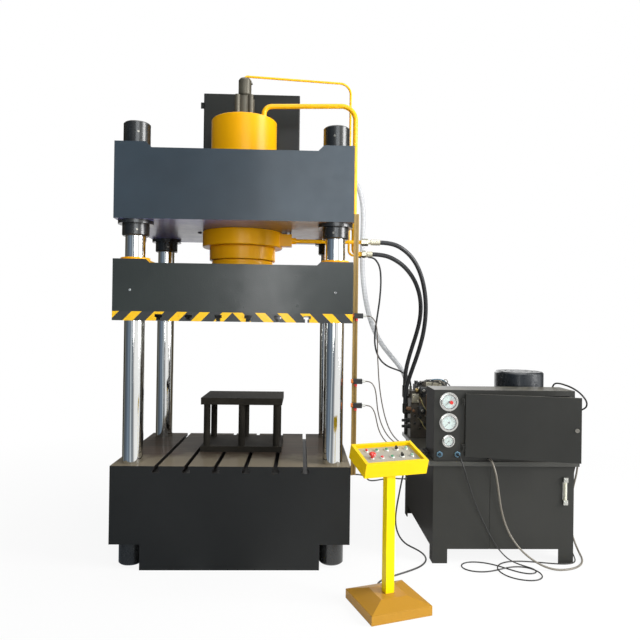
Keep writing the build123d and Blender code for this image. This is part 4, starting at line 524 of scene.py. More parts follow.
# Each: CAD node, diameter, finish, slot, stiffness, lay, points.
cords = {
    "upperHose": ("upper_hose", 0.034, "hoseRubber", "hose_rubber", "stiff", "hanging", [
        (1.056, -0.07, 2.295), (1.1603, -0.07, 2.295), (1.282, -0.035, 2.226), (1.359, 0.007, 2.139),
        (1.411, 0.054, 2.038), (1.445, 0.101, 1.929), (1.464, 0.144, 1.815), (1.468, 0.185, 1.699),
        (1.459, 0.224, 1.582), (1.438, 0.263, 1.467), (1.409, 0.302, 1.353), (1.377, 0.34, 1.24),
        (1.345, 0.374, 1.1047), (1.345, 0.374, 1),
    ]),
    "lowerHose": ("lower_hose", 0.034, "hoseRubber", "hose_rubber", "stiff", "hanging", [
        (1.006, 0, 2.212), (1.1051, 0, 2.212), (1.226, 0.03, 2.158), (1.311, 0.069, 2.087), (1.375, 0.116, 2.002),
        (1.418, 0.168, 1.906), (1.439, 0.22, 1.803), (1.44, 0.271, 1.698), (1.424, 0.32, 1.593), (1.4, 0.365, 1.488),
        (1.375, 0.402, 1.38), (1.352, 0.43, 1.2494), (1.352, 0.43, 1.15),
    ]),
    "pilotHose": ("pilot_hose", 0.014, "hoseRubber", "hose_rubber", "medium", "hanging", [
        (0.985, 0.1, 2.2), (1.0294, 0.1, 2.2), (1.07, 0.111, 2.154), (1.087, 0.12, 2.104), (1.093, 0.127, 2.052),
        (1.095, 0.133, 2), (1.094, 0.138, 1.947), (1.091, 0.144, 1.894), (1.087, 0.15, 1.842), (1.081, 0.158, 1.79),
        (1.075, 0.168, 1.738), (1.07, 0.181, 1.687), (1.065, 0.195, 1.637), (1.062, 0.211, 1.586),
        (1.063, 0.229, 1.536), (1.07, 0.249, 1.488), (1.083, 0.272, 1.442), (1.103, 0.298, 1.401),
        (1.129, 0.328, 1.365), (1.161, 0.359, 1.336), (1.197, 0.39, 1.313), (1.236, 0.421, 1.296),
        (1.279, 0.448, 1.281), (1.326, 0.466, 1.263), (1.37, 0.47, 1.236), (1.406, 0.458, 1.1866),
        (1.406, 0.458, 1.142),
    ]),
    "clearHose": ("clear_hose", 0.040, "clearHoseWall", "clear_hose_plastic", "medium", "hanging", [
        (0.446, 0.332, 2.948), (0.5484, 0.332, 2.948), (0.687, 0.332, 2.953), (0.805, 0.331, 2.931),
        (0.899, 0.33, 2.858), (0.947, 0.33, 2.748), (0.964, 0.33, 2.629), (0.966, 0.33, 2.509), (0.963, 0.33, 2.388),
        (0.962, 0.33, 2.268), (0.964, 0.33, 2.147), (0.973, 0.331, 2.027), (0.989, 0.333, 1.908),
        (1.013, 0.341, 1.79), (1.049, 0.359, 1.676), (1.098, 0.39, 1.571), (1.162, 0.432, 1.478),
        (1.235, 0.48, 1.396), (1.312, 0.524, 1.315), (1.388, 0.56, 1.1995), (1.388, 0.56, 1.098),
    ]),
    "sensorCableTop": ("sensor_cable_top", 0.008, "cableBrown", "cable_grey", "medium", "hanging", [
        (0.914, -0.482, 1.725), (0.9506, -0.482, 1.725), (0.981, -0.47, 1.683), (0.992, -0.459, 1.642),
        (0.997, -0.447, 1.6), (1, -0.437, 1.558), (1.002, -0.427, 1.515), (1.004, -0.418, 1.473),
        (1.007, -0.409, 1.43), (1.011, -0.4, 1.387), (1.015, -0.39, 1.345), (1.019, -0.379, 1.302),
        (1.024, -0.369, 1.26), (1.03, -0.358, 1.218), (1.037, -0.346, 1.176), (1.045, -0.335, 1.135),
        (1.054, -0.324, 1.093), (1.064, -0.313, 1.052), (1.075, -0.303, 1.011), (1.088, -0.293, 0.97),
        (1.103, -0.284, 0.93), (1.121, -0.275, 0.891), (1.144, -0.267, 0.855), (1.173, -0.26, 0.822),
        (1.206, -0.253, 0.794), (1.243, -0.247, 0.772), (1.284, -0.243, 0.756), (1.3328, -0.24, 0.745),
        (1.37, -0.24, 0.745),
    ]),
    "sensorCableMiddle": ("sensor_cable_middle", 0.008, "cableBrown", "cable_grey", "medium", "hanging", [
        (0.914, -0.482, 1.269), (0.9498, -0.482, 1.269), (0.98, -0.468, 1.229), (0.991, -0.454, 1.19),
        (0.998, -0.439, 1.151), (1.004, -0.424, 1.111), (1.01, -0.408, 1.072), (1.019, -0.392, 1.033),
        (1.03, -0.376, 0.995), (1.044, -0.36, 0.957), (1.061, -0.345, 0.921), (1.081, -0.331, 0.885),
        (1.105, -0.319, 0.853), (1.134, -0.307, 0.823), (1.168, -0.296, 0.798), (1.204, -0.287, 0.778),
        (1.244, -0.279, 0.763), (1.285, -0.274, 0.752), (1.3335, -0.27, 0.745), (1.37, -0.27, 0.745),
    ]),
    "sensorCableLow": ("sensor_cable_low", 0.008, "cableBrown", "cable_grey", "medium", "hanging", [
        (0.914, -0.482, 1.101), (0.9497, -0.482, 1.101), (0.979, -0.465, 1.061), (0.992, -0.449, 1.024),
        (1.002, -0.431, 0.986), (1.012, -0.413, 0.949), (1.025, -0.395, 0.912), (1.042, -0.377, 0.877),
        (1.064, -0.36, 0.844), (1.091, -0.345, 0.815), (1.123, -0.332, 0.79), (1.16, -0.321, 0.772),
        (1.2, -0.313, 0.759), (1.242, -0.307, 0.752), (1.284, -0.303, 0.747), (1.3336, -0.3, 0.745),
        (1.37, -0.3, 0.745),
    ]),
    "earthLead": ("earth_lead", 0.010, "cableBlack", "cable_black", "medium", "hanging", [
        (0.838, -0.42, 0.604), (0.8887, -0.42, 0.604), (0.931, -0.365, 0.578), (0.949, -0.312, 0.554),
        (0.962, -0.257, 0.531), (0.974, -0.201, 0.509), (0.99, -0.145, 0.49), (1.009, -0.09, 0.473),
        (1.032, -0.035, 0.458), (1.057, 0.019, 0.446), (1.084, 0.072, 0.435), (1.114, 0.125, 0.425),
        (1.143, 0.177, 0.416), (1.172, 0.23, 0.407), (1.199, 0.284, 0.397), (1.224, 0.338, 0.386),
        (1.246, 0.394, 0.372), (1.266, 0.449, 0.356), (1.286, 0.504, 0.338), (1.3292, 0.56, 0.318),
        (1.38, 0.56, 0.318),
    ]),
    "standCable": ("stand_cable", 0.012, "cableBlack", "cable_black", "medium", "loose", [
        (0.9765, -0.9013, 0.008), (0.9592, -0.8501, 0.008), (0.994, -0.781, 0.007), (1.041, -0.737, 0.006),
        (1.094, -0.701, 0.006), (1.148, -0.666, 0.006), (1.202, -0.63, 0.006), (1.254, -0.592, 0.006),
        (1.302, -0.549, 0.006), (1.34, -0.498, 0.006), (1.366, -0.439, 0.006), (1.374, -0.375, 0.006),
        (1.365, -0.311, 0.006), (1.342, -0.251, 0.006), (1.309, -0.196, 0.006), (1.27, -0.146, 0.013),
        (1.233, -0.105, 0.045), (1.21, -0.084, 0.101), (1.202, -0.083, 0.164), (1.203, -0.093, 0.228),
        (1.208, -0.11, 0.29), (1.214, -0.13, 0.351), (1.22, -0.153, 0.411), (1.225, -0.178, 0.47),
        (1.231, -0.205, 0.528), (1.238, -0.234, 0.585), (1.249, -0.265, 0.641), (1.269, -0.296, 0.693),
        (1.3162, -0.33, 0.745), (1.37, -0.33, 0.745),
    ]),
    "supplyCableThin": ("supply_cable_thin", 0.009, "cableBlack", "cable_black", "medium", "loose", [
        (1.567, -0.508, 0.764), (1.567, -0.5546, 0.764), (1.588, -0.572, 0.695), (1.606, -0.568, 0.64),
        (1.625, -0.561, 0.585), (1.645, -0.553, 0.532), (1.666, -0.544, 0.478), (1.688, -0.536, 0.425),
        (1.711, -0.529, 0.373), (1.736, -0.524, 0.32), (1.762, -0.52, 0.269), (1.789, -0.517, 0.218),
        (1.819, -0.515, 0.168), (1.851, -0.513, 0.12), (1.889, -0.512, 0.076), (1.933, -0.513, 0.038),
        (1.985, -0.522, 0.015), (2.037, -0.543, 0.0045), (2.078, -0.584, 0.0045), (2.08, -0.639, 0.0045),
        (2.033, -0.669, 0.005), (1.978, -0.655, 0.005), (1.931, -0.62, 0.005), (1.891, -0.579, 0.005),
        (1.85, -0.538, 0.005), (1.804, -0.502, 0.005), (1.752, -0.477, 0.005), (1.695, -0.467, 0.005),
        (1.639, -0.476, 0.005), (1.595, -0.513, 0.005), (1.586, -0.568, 0.005), (1.619, -0.614, 0.005),
        (1.673, -0.634, 0.005), (1.731, -0.635, 0.005), (1.787, -0.622, 0.007), (1.841, -0.602, 0.009),
        (1.896, -0.583, 0.013), (1.953, -0.571, 0.014), (2.01, -0.576, 0.014), (2.061, -0.603, 0.012),
        (2.092, -0.651, 0.009), (2.092, -0.708, 0.006), (2.057, -0.754, 0.005), (2.003, -0.773, 0.0045),
        (1.946, -0.767, 0.005), (1.894, -0.743, 0.005), (1.851, -0.704, 0.006), (1.824, -0.653, 0.009),
        (1.82, -0.596, 0.012), (1.845, -0.544, 0.014), (1.889, -0.507, 0.015), (1.943, -0.485, 0.015),
        (1.999, -0.474, 0.013), (2.057, -0.469, 0.01), (2.115, -0.472, 0.007), (2.172, -0.48, 0.006),
        (2.229, -0.491, 0.005), (2.286, -0.5, 0.0045), (2.344, -0.503, 0.0045), (2.399, -0.486, 0.0045),
        (2.435, -0.442, 0.0045), (2.451, -0.387, 0.011), (2.454, -0.336, 0.039), (2.453, -0.304, 0.086),
        (2.451, -0.293, 0.143), (2.45, -0.291, 0.201), (2.45, -0.293, 0.259), (2.451, -0.297, 0.317),
        (2.451, -0.301, 0.375), (2.452, -0.305, 0.432), (2.455, -0.31, 0.49), (2.462, -0.315, 0.547),
        (2.471, -0.32, 0.604), (2.481, -0.326, 0.661), (2.49, -0.332, 0.718), (2.4767, -0.34, 0.79),
        (2.43, -0.34, 0.79),
    ]),
    "supplyCableThick": ("supply_cable_thick", 0.014, "cableGrey", "cable_grey", "medium", "loose", [
        (1.79, -0.5, 0.735), (1.79, -0.551, 0.735), (1.804, -0.586, 0.669), (1.816, -0.587, 0.609),
        (1.828, -0.578, 0.549), (1.84, -0.565, 0.49), (1.853, -0.552, 0.431), (1.868, -0.544, 0.372),
        (1.886, -0.54, 0.313), (1.909, -0.542, 0.255), (1.937, -0.547, 0.201), (1.973, -0.555, 0.151),
        (2.015, -0.566, 0.107), (2.062, -0.579, 0.07), (2.114, -0.594, 0.04), (2.17, -0.606, 0.019),
        (2.231, -0.612, 0.008), (2.292, -0.606, 0.007), (2.351, -0.587, 0.007), (2.402, -0.554, 0.007),
        (2.445, -0.509, 0.007), (2.477, -0.457, 0.007), (2.501, -0.4, 0.007), (2.518, -0.34, 0.007),
        (2.527, -0.281, 0.021), (2.529, -0.229, 0.054), (2.526, -0.192, 0.102), (2.52, -0.174, 0.161),
        (2.514, -0.169, 0.222), (2.511, -0.174, 0.283), (2.51, -0.186, 0.344), (2.512, -0.201, 0.403),
        (2.516, -0.219, 0.462), (2.521, -0.236, 0.521), (2.526, -0.252, 0.581), (2.527, -0.265, 0.641),
        (2.519, -0.276, 0.701), (2.4813, -0.285, 0.765), (2.43, -0.285, 0.765),
    ]),
    "motorCable": ("motor_cable", 0.012, "cableBlack", "cable_black", "medium", "hanging", [
        (2.362, -0.09, 0.985), (2.362, -0.1254, 0.985), (2.362, -0.158, 1.024), (2.361, -0.172, 1.064),
        (2.36, -0.178, 1.106), (2.358, -0.183, 1.148), (2.357, -0.191, 1.19), (2.356, -0.212, 1.226),
        (2.357, -0.249, 1.246), (2.36, -0.29, 1.251), (2.366, -0.332, 1.251), (2.375, -0.374, 1.247),
        (2.386, -0.414, 1.241), (2.401, -0.452, 1.23), (2.421, -0.484, 1.212), (2.446, -0.503, 1.184),
        (2.471, -0.501, 1.151), (2.488, -0.48, 1.118), (2.49, -0.449, 1.09), (2.465, -0.41, 1.066),
        (2.43, -0.41, 1.066),
    ]),
}


def routeLength(points):
    # Length of the smooth line that the points steer, sampled on each quadratic span.
    points = [Vector(p) for p in points]
    mids = [points[0]] + [(a + b) / 2 for a, b in zip(points[1:-2], points[2:-1])] + [points[-1]]
    total = 0.0
    for start, steer, end in zip(mids, points[1:-1], mids[1:]):
        spots = [start * (1 - t) ** 2 + steer * 2 * t * (1 - t) + end * t * t for t in [k / 12 for k in range(13)]]
        total += sum((b - a).length for a, b in zip(spots, spots[1:]))
    return total


for name, (node, diameter, look, slotName, stiffness, lay, points) in cords.items():
    piece = tube(name, points, diameter / 2, look, ring=5 if diameter > 0.02 else 3)
    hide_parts(node)
print("stage: hoses and cables")

# Gauges: dial, scale, glass and flange screws

gauges = {
    "x": 1.504, "dialY": -0.4842, "screwY": -0.484,
    "rows": {"Upper": (1.132, 0.132), "Middle": (0.986, 0.132), "Lower": (0.856, 0.088)},
    "cupShare": 0.76, "cupPlay": 0.0006, "from": -135, "sweep": 270, "marks": 51, "numbers": 6, "numberStep": 5,
    "knob": {"place": (0.012, 1.129), "radius": 0.0135, "reach": 0.026, "tip": 0.012},
}
paint["gaugeGlass"], _, glassShader = newMaterial("gaugeGlass")
glassLook = {"Base Color": (1, 1, 1, 1), "Roughness": 0.03, "Alpha": 0.12, "Coat Weight": 1.0}
for socketName, value in glassLook.items():
    glassShader.inputs[socketName].default_value = value
gaugeX, dialY, glassY = gauges["x"], gauges["dialY"], gauges["dialY"] - 0.0136


def onDial(z, angle, reach, y):
    return Vector((gaugeX + math.sin(angle) * reach, y, z + math.cos(angle) * reach))


def dialAngle(share):
    return math.radians(gauges["from"] + gauges["sweep"] * share)


def flatDigit(name, word, size, place):
    # A number as a mesh, facing the front.
    text = bpy.data.curves.new(name, "FONT")
    text.body = word
    text.size = size
    text.align_x = "CENTER"
    text.align_y = "CENTER"
    text.materials.append(paint["inkBlack"])
    digit = bpy.data.objects.new(name, text)
    scene.collection.objects.link(digit)
    digit.matrix_world = Matrix.Translation(place) @ Matrix.Rotation(math.pi / 2, 4, "X")
    bpy.context.view_layer.update()
    data = bpy.data.meshes.new_from_object(digit)
    data.transform(digit.matrix_world)
    bpy.data.objects.remove(digit)
    bm = bmesh.new()
    bm.from_mesh(data)
    return bm


for label, (z, size) in gauges["rows"].items():
    cup = gauges["cupShare"] * size / 2 - gauges["cupPlay"]
    bm = bmesh.new()
    addRod(bm, (gaugeX, dialY - 0.0006, z), (gaugeX, dialY + 0.0001, z), cup, 48)
    meshObject("dial" + label, bm, "dialFace")
    bm = bmesh.new()
    addRing(bm, (gaugeX, dialY - 0.0022, z), cup * 0.975, 0.0022, (0, 1, 0))
    meshObject("dialSeal" + label, bm, "sealBlack")
    bm = bmesh.new()
    for k in range(gauges["marks"]):
        angle = dialAngle(k / (gauges["marks"] - 1))
        long = k % 5 == 0
        inner, outer = cup * (0.76 if long else 0.83), cup * 0.9
        reach = Vector((cup * (0.018 if long else 0.009), 0.0001, (outer - inner) / 2))
        middle = onDial(z, angle, (inner + outer) / 2, dialY - 0.0008)
        addBlock(bm, middle - reach, middle + reach, turn=Matrix.Rotation(angle, 4, "Y"))
    meshObject("scale" + label, bm, "inkBlack", smooth=0)
    for k in range(gauges["numbers"]):
        place = onDial(z, dialAngle(k / (gauges["numbers"] - 1)), cup * 0.62, dialY - 0.001)
        bm = flatDigit(f"digit{label}{k}", str(k * gauges["numberStep"]), cup * 0.2, place)
        meshObject(f"number{label}{k}", bm, "inkBlack", smooth=0)
    bm = bmesh.new()
    addRod(bm, (gaugeX, glassY, z), (gaugeX, dialY - 0.0126, z), cup, 48)
    meshObject("glass" + label, bm, "gaugeGlass")
    bm = bmesh.new()
    for k in range(3):
        spot = onDial(z, math.radians(60 + 120 * k), size / 2 * 0.93, gauges["screwY"])
        addDome(bm, spot, 0.0038, (0, -1, 0), 0.5, 12)
    meshObject("flangeScrews" + label, bm, "bareSteel")
knob = gauges["knob"]
x, z = gaugeX + knob["place"][0], knob["place"][1]
bm = bmesh.new()
addRod(bm, (x, glassY, z), (x, dialY - knob["reach"], z), knob["radius"], 24, knob["tip"])
meshObject("gaugeKnob", bm, "redPlastic")

# Screws in the slide front and the columns' lifting set screws

guideScrews = {"x": (-0.69, 0.69), "y": (-0.6, 0.6), "z": 1.877, "radius": 0.0085, "reach": 0.004}
bm = bmesh.new()
for x in guideScrews["x"]:
    for y in guideScrews["y"]:
        end = y + (-1 if y < 0 else 1) * guideScrews["reach"]
        addRod(bm, (x, y, guideScrews["z"]), (x, end, guideScrews["z"]), guideScrews["radius"], 20)
meshObject("guideScrews", bm, "gaugeChrome", body="slide_group")

setScrews = {
    "x": (-0.69, 0.69), "y": (-0.475, 0.475), "z": (2.955, 2.29),
    "out": 0.0905, "radius": 0.0075, "reach": 0.0025, "leftTurn": 0.35, "rightTurn": -0.2,
}
bm = bmesh.new()
for x in setScrews["x"]:
    out = Vector((setScrews["leftTurn"] if x < 0 else setScrews["rightTurn"], -1, 0)).normalized()
    for y in setScrews["y"]:
        for z in setScrews["z"]:
            spot = Vector((x, y, z)) + out * setScrews["out"]
            addRod(bm, spot, spot + out * setScrews["reach"], setScrews["radius"], 12)
meshObject("setScrews", bm, "bareSteel")

# Port block, unions and plugs on the manifold's front. All of these stand on its face, at y 0.3455.

portBlock = {
    "low": (1.392, 0.305, 1.018), "high": (1.450, 0.3455, 1.092),
    "screwsX": (0.012, 0.046), "screwsZ": (0.012, 0.062), "screwRadius": 0.0055,
}
low = Vector(portBlock["low"])
bm = bmesh.new()
addBlock(bm, low, portBlock["high"], 0.003)
for dx in portBlock["screwsX"]:
    for dz in portBlock["screwsZ"]:
        addScrew(bm, low + Vector((dx, 0, dz)), (0, -1, 0), portBlock["screwRadius"], 0.006)
meshObject("portBlock", bm, "zincPlate")

panelNuts = {"places": ((1.441, 0.764), (1.567, 0.764)), "radius": 0.0225, "reach": 0.009}
bm = bmesh.new()
for x, z in panelNuts["places"]:
    addNut(bm, (x, -0.4795, z), (x, -0.48 - panelNuts["reach"], z), panelNuts["radius"])
meshObject("panelNuts", bm, "blueFitting")

capBlock = {
    "low": (1.4805, 0.3455, 1.1105), "high": (1.5175, 0.452, 1.188), "screwX": 0.0165, "screwsZ": (0.052, 0.068),
}
low = Vector(capBlock["low"])
bm = bmesh.new()
addBlock(bm, low, capBlock["high"], 0.003)
for dz in capBlock["screwsZ"]:
    addScrew(bm, low + Vector((capBlock["screwX"], 0, dz)), (0, -1, 0), 0.006, 0.006)
meshObject("capBlock", bm, "manifoldSteel")

# Hexagons of each union: start, end and radius.
unionRows = {
    "brassUnion": ("brass", [
        ((1.434, 0.3455, 1.122), (1.434, 0.322, 1.122), 0.016),
        ((1.434, 0.324, 1.122), (1.434, 0.298, 1.122), 0.0125),
    ]),
    "copperElbow": ("copper", [
        ((1.392, 0.352, 0.962), (1.366, 0.352, 0.962), 0.019),
        ((1.372, 0.352, 0.962), (1.352, 0.356, 0.966), 0.015),
        ((1.410, 0.3455, 0.948), (1.410, 0.318, 0.948), 0.014),
    ]),
    "plugNuts": ("blackPlastic", [
        ((1.470, 0.3455, 0.893), (1.470, 0.330, 0.893), 0.013),
        ((1.424, 0.3455, 0.905), (1.424, 0.332, 0.905), 0.011),
        ((1.424, 0.3455, 0.842), (1.424, 0.330, 0.842), 0.012),
        ((1.466, 0.3455, 0.800), (1.466, 0.332, 0.800), 0.011),
    ]),
}
for name, (look, nuts) in unionRows.items():
    bm = bmesh.new()
    for start, end, radius in nuts:
        addNut(bm, start, end, radius)
    meshObject(name, bm, look)

# Black coil boxes with their nuts: low corner, high corner, and the nut's x and z
coilRows = {
    "coilUpper": ((1.452, 0.268, 1.096), (1.510, 0.3455, 1.150), (1.481, 1.123)),
    "coilLower": ((1.447, 0.272, 0.925), (1.498, 0.3455, 0.988), (1.472, 0.956)),
}
lip = 0.0015  # how far the ribs stand out of a coil box
for name, (low, high, (x, z)) in coilRows.items():
    bm = bmesh.new()
    addBlock(bm, low, high, 0.004)
    for k in range(4):
        y = low[1] + 0.016 + 0.012 * k
        addBlock(bm, (low[0] - lip, y, low[2] - lip), (high[0] + lip, y + 0.005, high[2] + lip), 0.001)
    meshObject(name, bm, "blackPlastic")
    bm = bmesh.new()
    addNut(bm, (x, low[1] + 0.001, z), (x, low[1] - 0.010, z), 0.013)
    addScrew(bm, (x, low[1] - 0.010, z), (0, -1, 0), 0.006, 0.005)
    meshObject(name + "Nut", bm, "bareSteel")

# Thin pipes between the ports, with a nut at each end
pipeRows = {
    "copperPipeRight": ("copper", 0.0042, [
        (1.5145, 0.3455, 1.082), (1.5145, 0.318, 1.082), (1.5145, 0.316, 1.050), (1.514, 0.322, 0.980),
        (1.5145, 0.318, 0.905), (1.5145, 0.3455, 0.903),
    ]),
    "copperPipeLeft": ("copper", 0.0032, [
        (1.462, 0.3455, 1.052), (1.462, 0.328, 1.052), (1.464, 0.326, 1.034), (1.466, 0.328, 1.008),
        (1.466, 0.3455, 1.006),
    ]),
    "oliveLoopUpper": ("olivePipe", 0.0036, [
        (1.452, 0.3455, 1.070), (1.452, 0.262, 1.068), (1.470, 0.256, 1.010), (1.498, 0.256, 0.968),
        (1.5165, 0.262, 0.950), (1.5165, 0.3455, 0.950),
    ]),
    "oliveLoopLower": ("olivePipe", 0.0034, [
        (1.452, 0.3455, 0.886), (1.455, 0.262, 0.884), (1.482, 0.254, 0.826), (1.512, 0.256, 0.795),
        (1.534, 0.268, 0.788), (1.536, 0.3455, 0.786),
    ]),
}
for name, (look, radius, points) in pipeRows.items():
    tube(name, points, radius, look)
bm = bmesh.new()
for _, radius, points in pipeRows.values():
    for end, inner in ((points[0], points[1]), (points[-1], points[-2])):
        addNut(bm, end, Vector(end).lerp(Vector(inner), 0.011 / (Vector(inner) - Vector(end)).length), radius * 2.1)
meshObject("pipeNuts", bm, "bareSteel")

# Relief valve on the manifold's right side: body, cartridge, plugs and lifting ring
reliefValve = {
    "low": (1.5165, 0.362, 1.098), "high": (1.648, 0.452, 1.188), "axis": (0.407, 1.150),
    "coilEnd": 1.700, "coilRadius": 0.036, "ring": 0.0165,
    "plugs": ((1.532, 1.556), (1.574, 1.598), (1.612, 1.640)), "plugTop": 1.203,
    "band": [
        (1.562, 0.365, 1.204), (1.600, 0.358, 1.210), (1.640, 0.360, 1.209), (1.672, 0.372, 1.199),
        (1.690, 0.385, 1.184),
    ],
}
y, z = reliefValve["axis"]
low, high = reliefValve["low"], reliefValve["high"]
bm = bmesh.new()
addBlock(bm, low, high, 0.004)
addNut(bm, (high[0] - 0.001, y, z), (high[0] + 0.013, y, z), 0.033)
for x in (low[0] + 0.018, high[0] - 0.018):
    for dz in (0.016, 0.074):
        addScrew(bm, (x, low[1], low[2] + dz), (0, -1, 0), 0.0065, 0.006)
meshObject("reliefBody", bm, "zincPlate")
bm = bmesh.new()
addRod(bm, (high[0] + 0.012, y, z), (reliefValve["coilEnd"], y, z), reliefValve["coilRadius"], 32)
for edge in range(3):
    at = high[0] + 0.018 + 0.012 * edge
    addRod(bm, (at, y, z), (at + 0.005, y, z), reliefValve["coilRadius"] + 0.0015, 32)
for left, right in reliefValve["plugs"]:
    x = (left + right) / 2
    addBlock(bm, (left, y - 0.026, high[2] - 0.001), (right, y + 0.026, reliefValve["plugTop"]), 0.003)
    addRod(bm, (x, y - 0.024, high[2] + 0.0065), (x, y - 0.036, high[2] + 0.0065), 0.0055, 16, 0.0045)
meshObject("reliefCoil", bm, "blackPlastic")
bm = bmesh.new()
addRing(bm, (reliefValve["coilEnd"] - 0.012, y - 0.030, z + 0.040), reliefValve["ring"], 0.0036, (0.25, 1, 0.1))
meshObject("reliefRing", bm, "bareSteel")
tube("blueBand", reliefValve["band"], 0.0045, "blueFitting")

# Nuts on the ends of the directional valves' coils
coilNuts = {"places": ((1.454, 1.137), (1.565, 0.970), (1.655, 0.970)), "y": (0.311, 0.509), "radius": 0.0155}
bm = bmesh.new()
for x, z in coilNuts["places"]:
    for y, way in zip(coilNuts["y"], (-1, 1)):
        addNut(bm, (x, y - way * 0.012, z), (x, y + way * 0.006, z), coilNuts["radius"])
meshObject("coilEndNuts", bm, "bareSteel")

# Eye bolts at both sides of the cylinder flange's top
flangeEyes = {"places": ((-0.331, 2.370), (0.352, 2.351)), "radius": 0.0165, "wire": 0.0062, "shank": 0.028}
for side, (x, z) in zip(("Left", "Right"), flangeEyes["places"]):
    way = 1 if x < 0 else -1
    start = x + way * flangeEyes["radius"]
    bm = bmesh.new()
    addRing(bm, (x, 0, z), flangeEyes["radius"], flangeEyes["wire"], (0, 1, 0))
    addRod(bm, (start, 0, z), (start + way * flangeEyes["shank"], 0, z), 0.0075, 20)
    addRod(bm, (start, 0, z), (start + way * 0.006, 0, z), 0.0125, 20)
    meshObject("flangeEye" + side, bm, "nutPaint")

# Leads from the valve coils to the cabinet's back wall
coilLeads = {
    "coilLeadFront": (0.009, "cableBlack", "cable_black", [
        (1.454, 0.341, 1.173), (1.454, 0.310, 1.173), (1.475, 0.270, 1.198), (1.530, 0.250, 1.204),
        (1.590, 0.245, 1.198), (1.640, 0.240, 1.178), (1.668, 0.220, 1.150), (1.680, 0.150, 1.090),
        (1.685, 0.020, 1.050), (1.690, -0.100, 1.045), (1.690, -0.2015, 1.045),
    ]),
    "coilLeadBack": (0.009, "cableBlack", "cable_black", [
        (1.468, 0.465, 1.173), (1.500, 0.470, 1.176), (1.560, 0.475, 1.196), (1.640, 0.472, 1.192),
        (1.712, 0.440, 1.180), (1.730, 0.350, 1.145), (1.728, 0.200, 1.090), (1.722, -0.050, 1.035),
        (1.722, -0.2015, 1.030),
    ]),
    "coilLeadGrey": (0.012, "cableGrey", "cable_grey", [
        (1.565, 0.341, 1.006), (1.564, 0.310, 1.012), (1.550, 0.298, 1.120), (1.560, 0.296, 1.196),
        (1.600, 0.292, 1.212), (1.645, 0.285, 1.194), (1.668, 0.268, 1.150), (1.672, 0.150, 1.078),
        (1.674, -0.060, 1.012), (1.674, -0.2015, 1.000),
    ]),
}
bm = bmesh.new()
for name, (diameter, look, slotName, points) in coilLeads.items():
    tube(name, points, diameter / 2, look)
    print("scene cord", name, round(routeLength(points), 3))
    wall = Vector(points[-1])
    addNut(bm, wall, wall + Vector((0, 0.012, 0)), diameter * 1.15)
    addRod(bm, wall + Vector((0, 0.011, 0)), wall + Vector((0, 0.022, 0)), diameter * 0.85, 20, diameter * 0.6)
meshObject("leadGlands", bm, "blackPlastic")
print("stage: trim on the manifold and the flange")

# Camera: placed at the photograph's own station and tilt. The turns are degrees about z, x and y.

photoCamera = {"place": (0.458, -4.635, 1.676), "lens": 33.55, "turns": {"Z": -1.83, "X": 0.23, "Y": -0.78}}
cameraData = bpy.data.cameras.new("photoCamera")
cameraData.sensor_width = 36.0
cameraData.lens = photoCamera["lens"]
cameraData.clip_end = 200.0
camera = bpy.data.objects.new("photoCamera", cameraData)
scene.collection.objects.link(camera)
stand = Matrix.Translation(photoCamera["place"])
for axis, degrees in photoCamera["turns"].items():
    stand = stand @ Matrix.Rotation(math.radians(degrees), 4, axis)
camera.matrix_world = stand @ Matrix.Rotation(math.pi / 2, 4, "X")
scene.camera = camera
print("stage: camera")

roomLight = {
    "floorTone": 0.12,
    "skyTone": 0.32,
    "leftShare": 0.35,  # how much of the room's light is left on the far left
    # Degrees round from the camera's side, to the right, and the tone seen there.
    "panorama": [
        (-180, (1.0, 1.0, 1.0)), (-157, (1.0, 1.0, 1.0)), (-151, (0.05, 0.045, 0.035)), (-104, (0.06, 0.055, 0.045)),
        (-96, (0.24, 0.25, 0.22)), (-88, (0.07, 0.08, 0.09)), (-60, (0.11, 0.14, 0.18)), (-44, (0.2, 0.26, 0.33)),
        (-30, (0.12, 0.15, 0.19)), (-17, (0.62, 0.68, 0.72)), (-8, (0.16, 0.19, 0.22)), (4, (0.2, 0.22, 0.24)),
        (12, (0.5, 0.5, 0.5)), (20, (0.96, 0.96, 0.95)), (96, (1.0, 1.0, 0.98)), (104, (0.09, 0.075, 0.05)),
        (151, (0.06, 0.05, 0.035)), (157, (1.0, 1.0, 1.0)), (180, (1.0, 1.0, 1.0)),
    ],
}
lampRows = {
    "topLamp": ((0.6, -1.5, 7.5), (0.6, 0, 1.5), (7, 5), 230, (1, 1, 1)),
    "rightLamp": ((7.0, -3.0, 3.6), (0.8, 0, 1.6), (3, 5), 680, (1, 1, 1)),
    "frontLamp": ((1.6, -8.0, 4.4), (0.6, 0, 1.7), (4, 3), 160, (0.9, 0.96, 1.0)),
    "glintLamp": ((-0.1, -7.0, 2.2), (0.3, 0, 1.9), (0.8, 1.7), 48, (1, 1, 1)),
    "backLamp": ((0.5, 7.5, 4.0), (0.6, 0, 1.6), (6, 4), 120, (1, 1, 1)),
}

# World and lamps: an even pale room. Metal sees a workshop round it, and white behind the object.

def addPanorama(tree, angle):
    # The tone of the room in a direction, given as an angle in radians from the camera's side.
    made = addNode(tree, "ValToRGB", {0: ramp(tree, angle, -math.pi, math.pi)})
    stops = made.color_ramp.elements
    for degrees, tone in roomLight["panorama"]:
        spot = (degrees + 180) / 360
        stop = stops[0] if degrees == -180 else stops[-1] if degrees == 180 else stops.new(spot)
        stop.position = spot
        stop.color = (*tone, 1.0)
    return made.outputs["Color"]


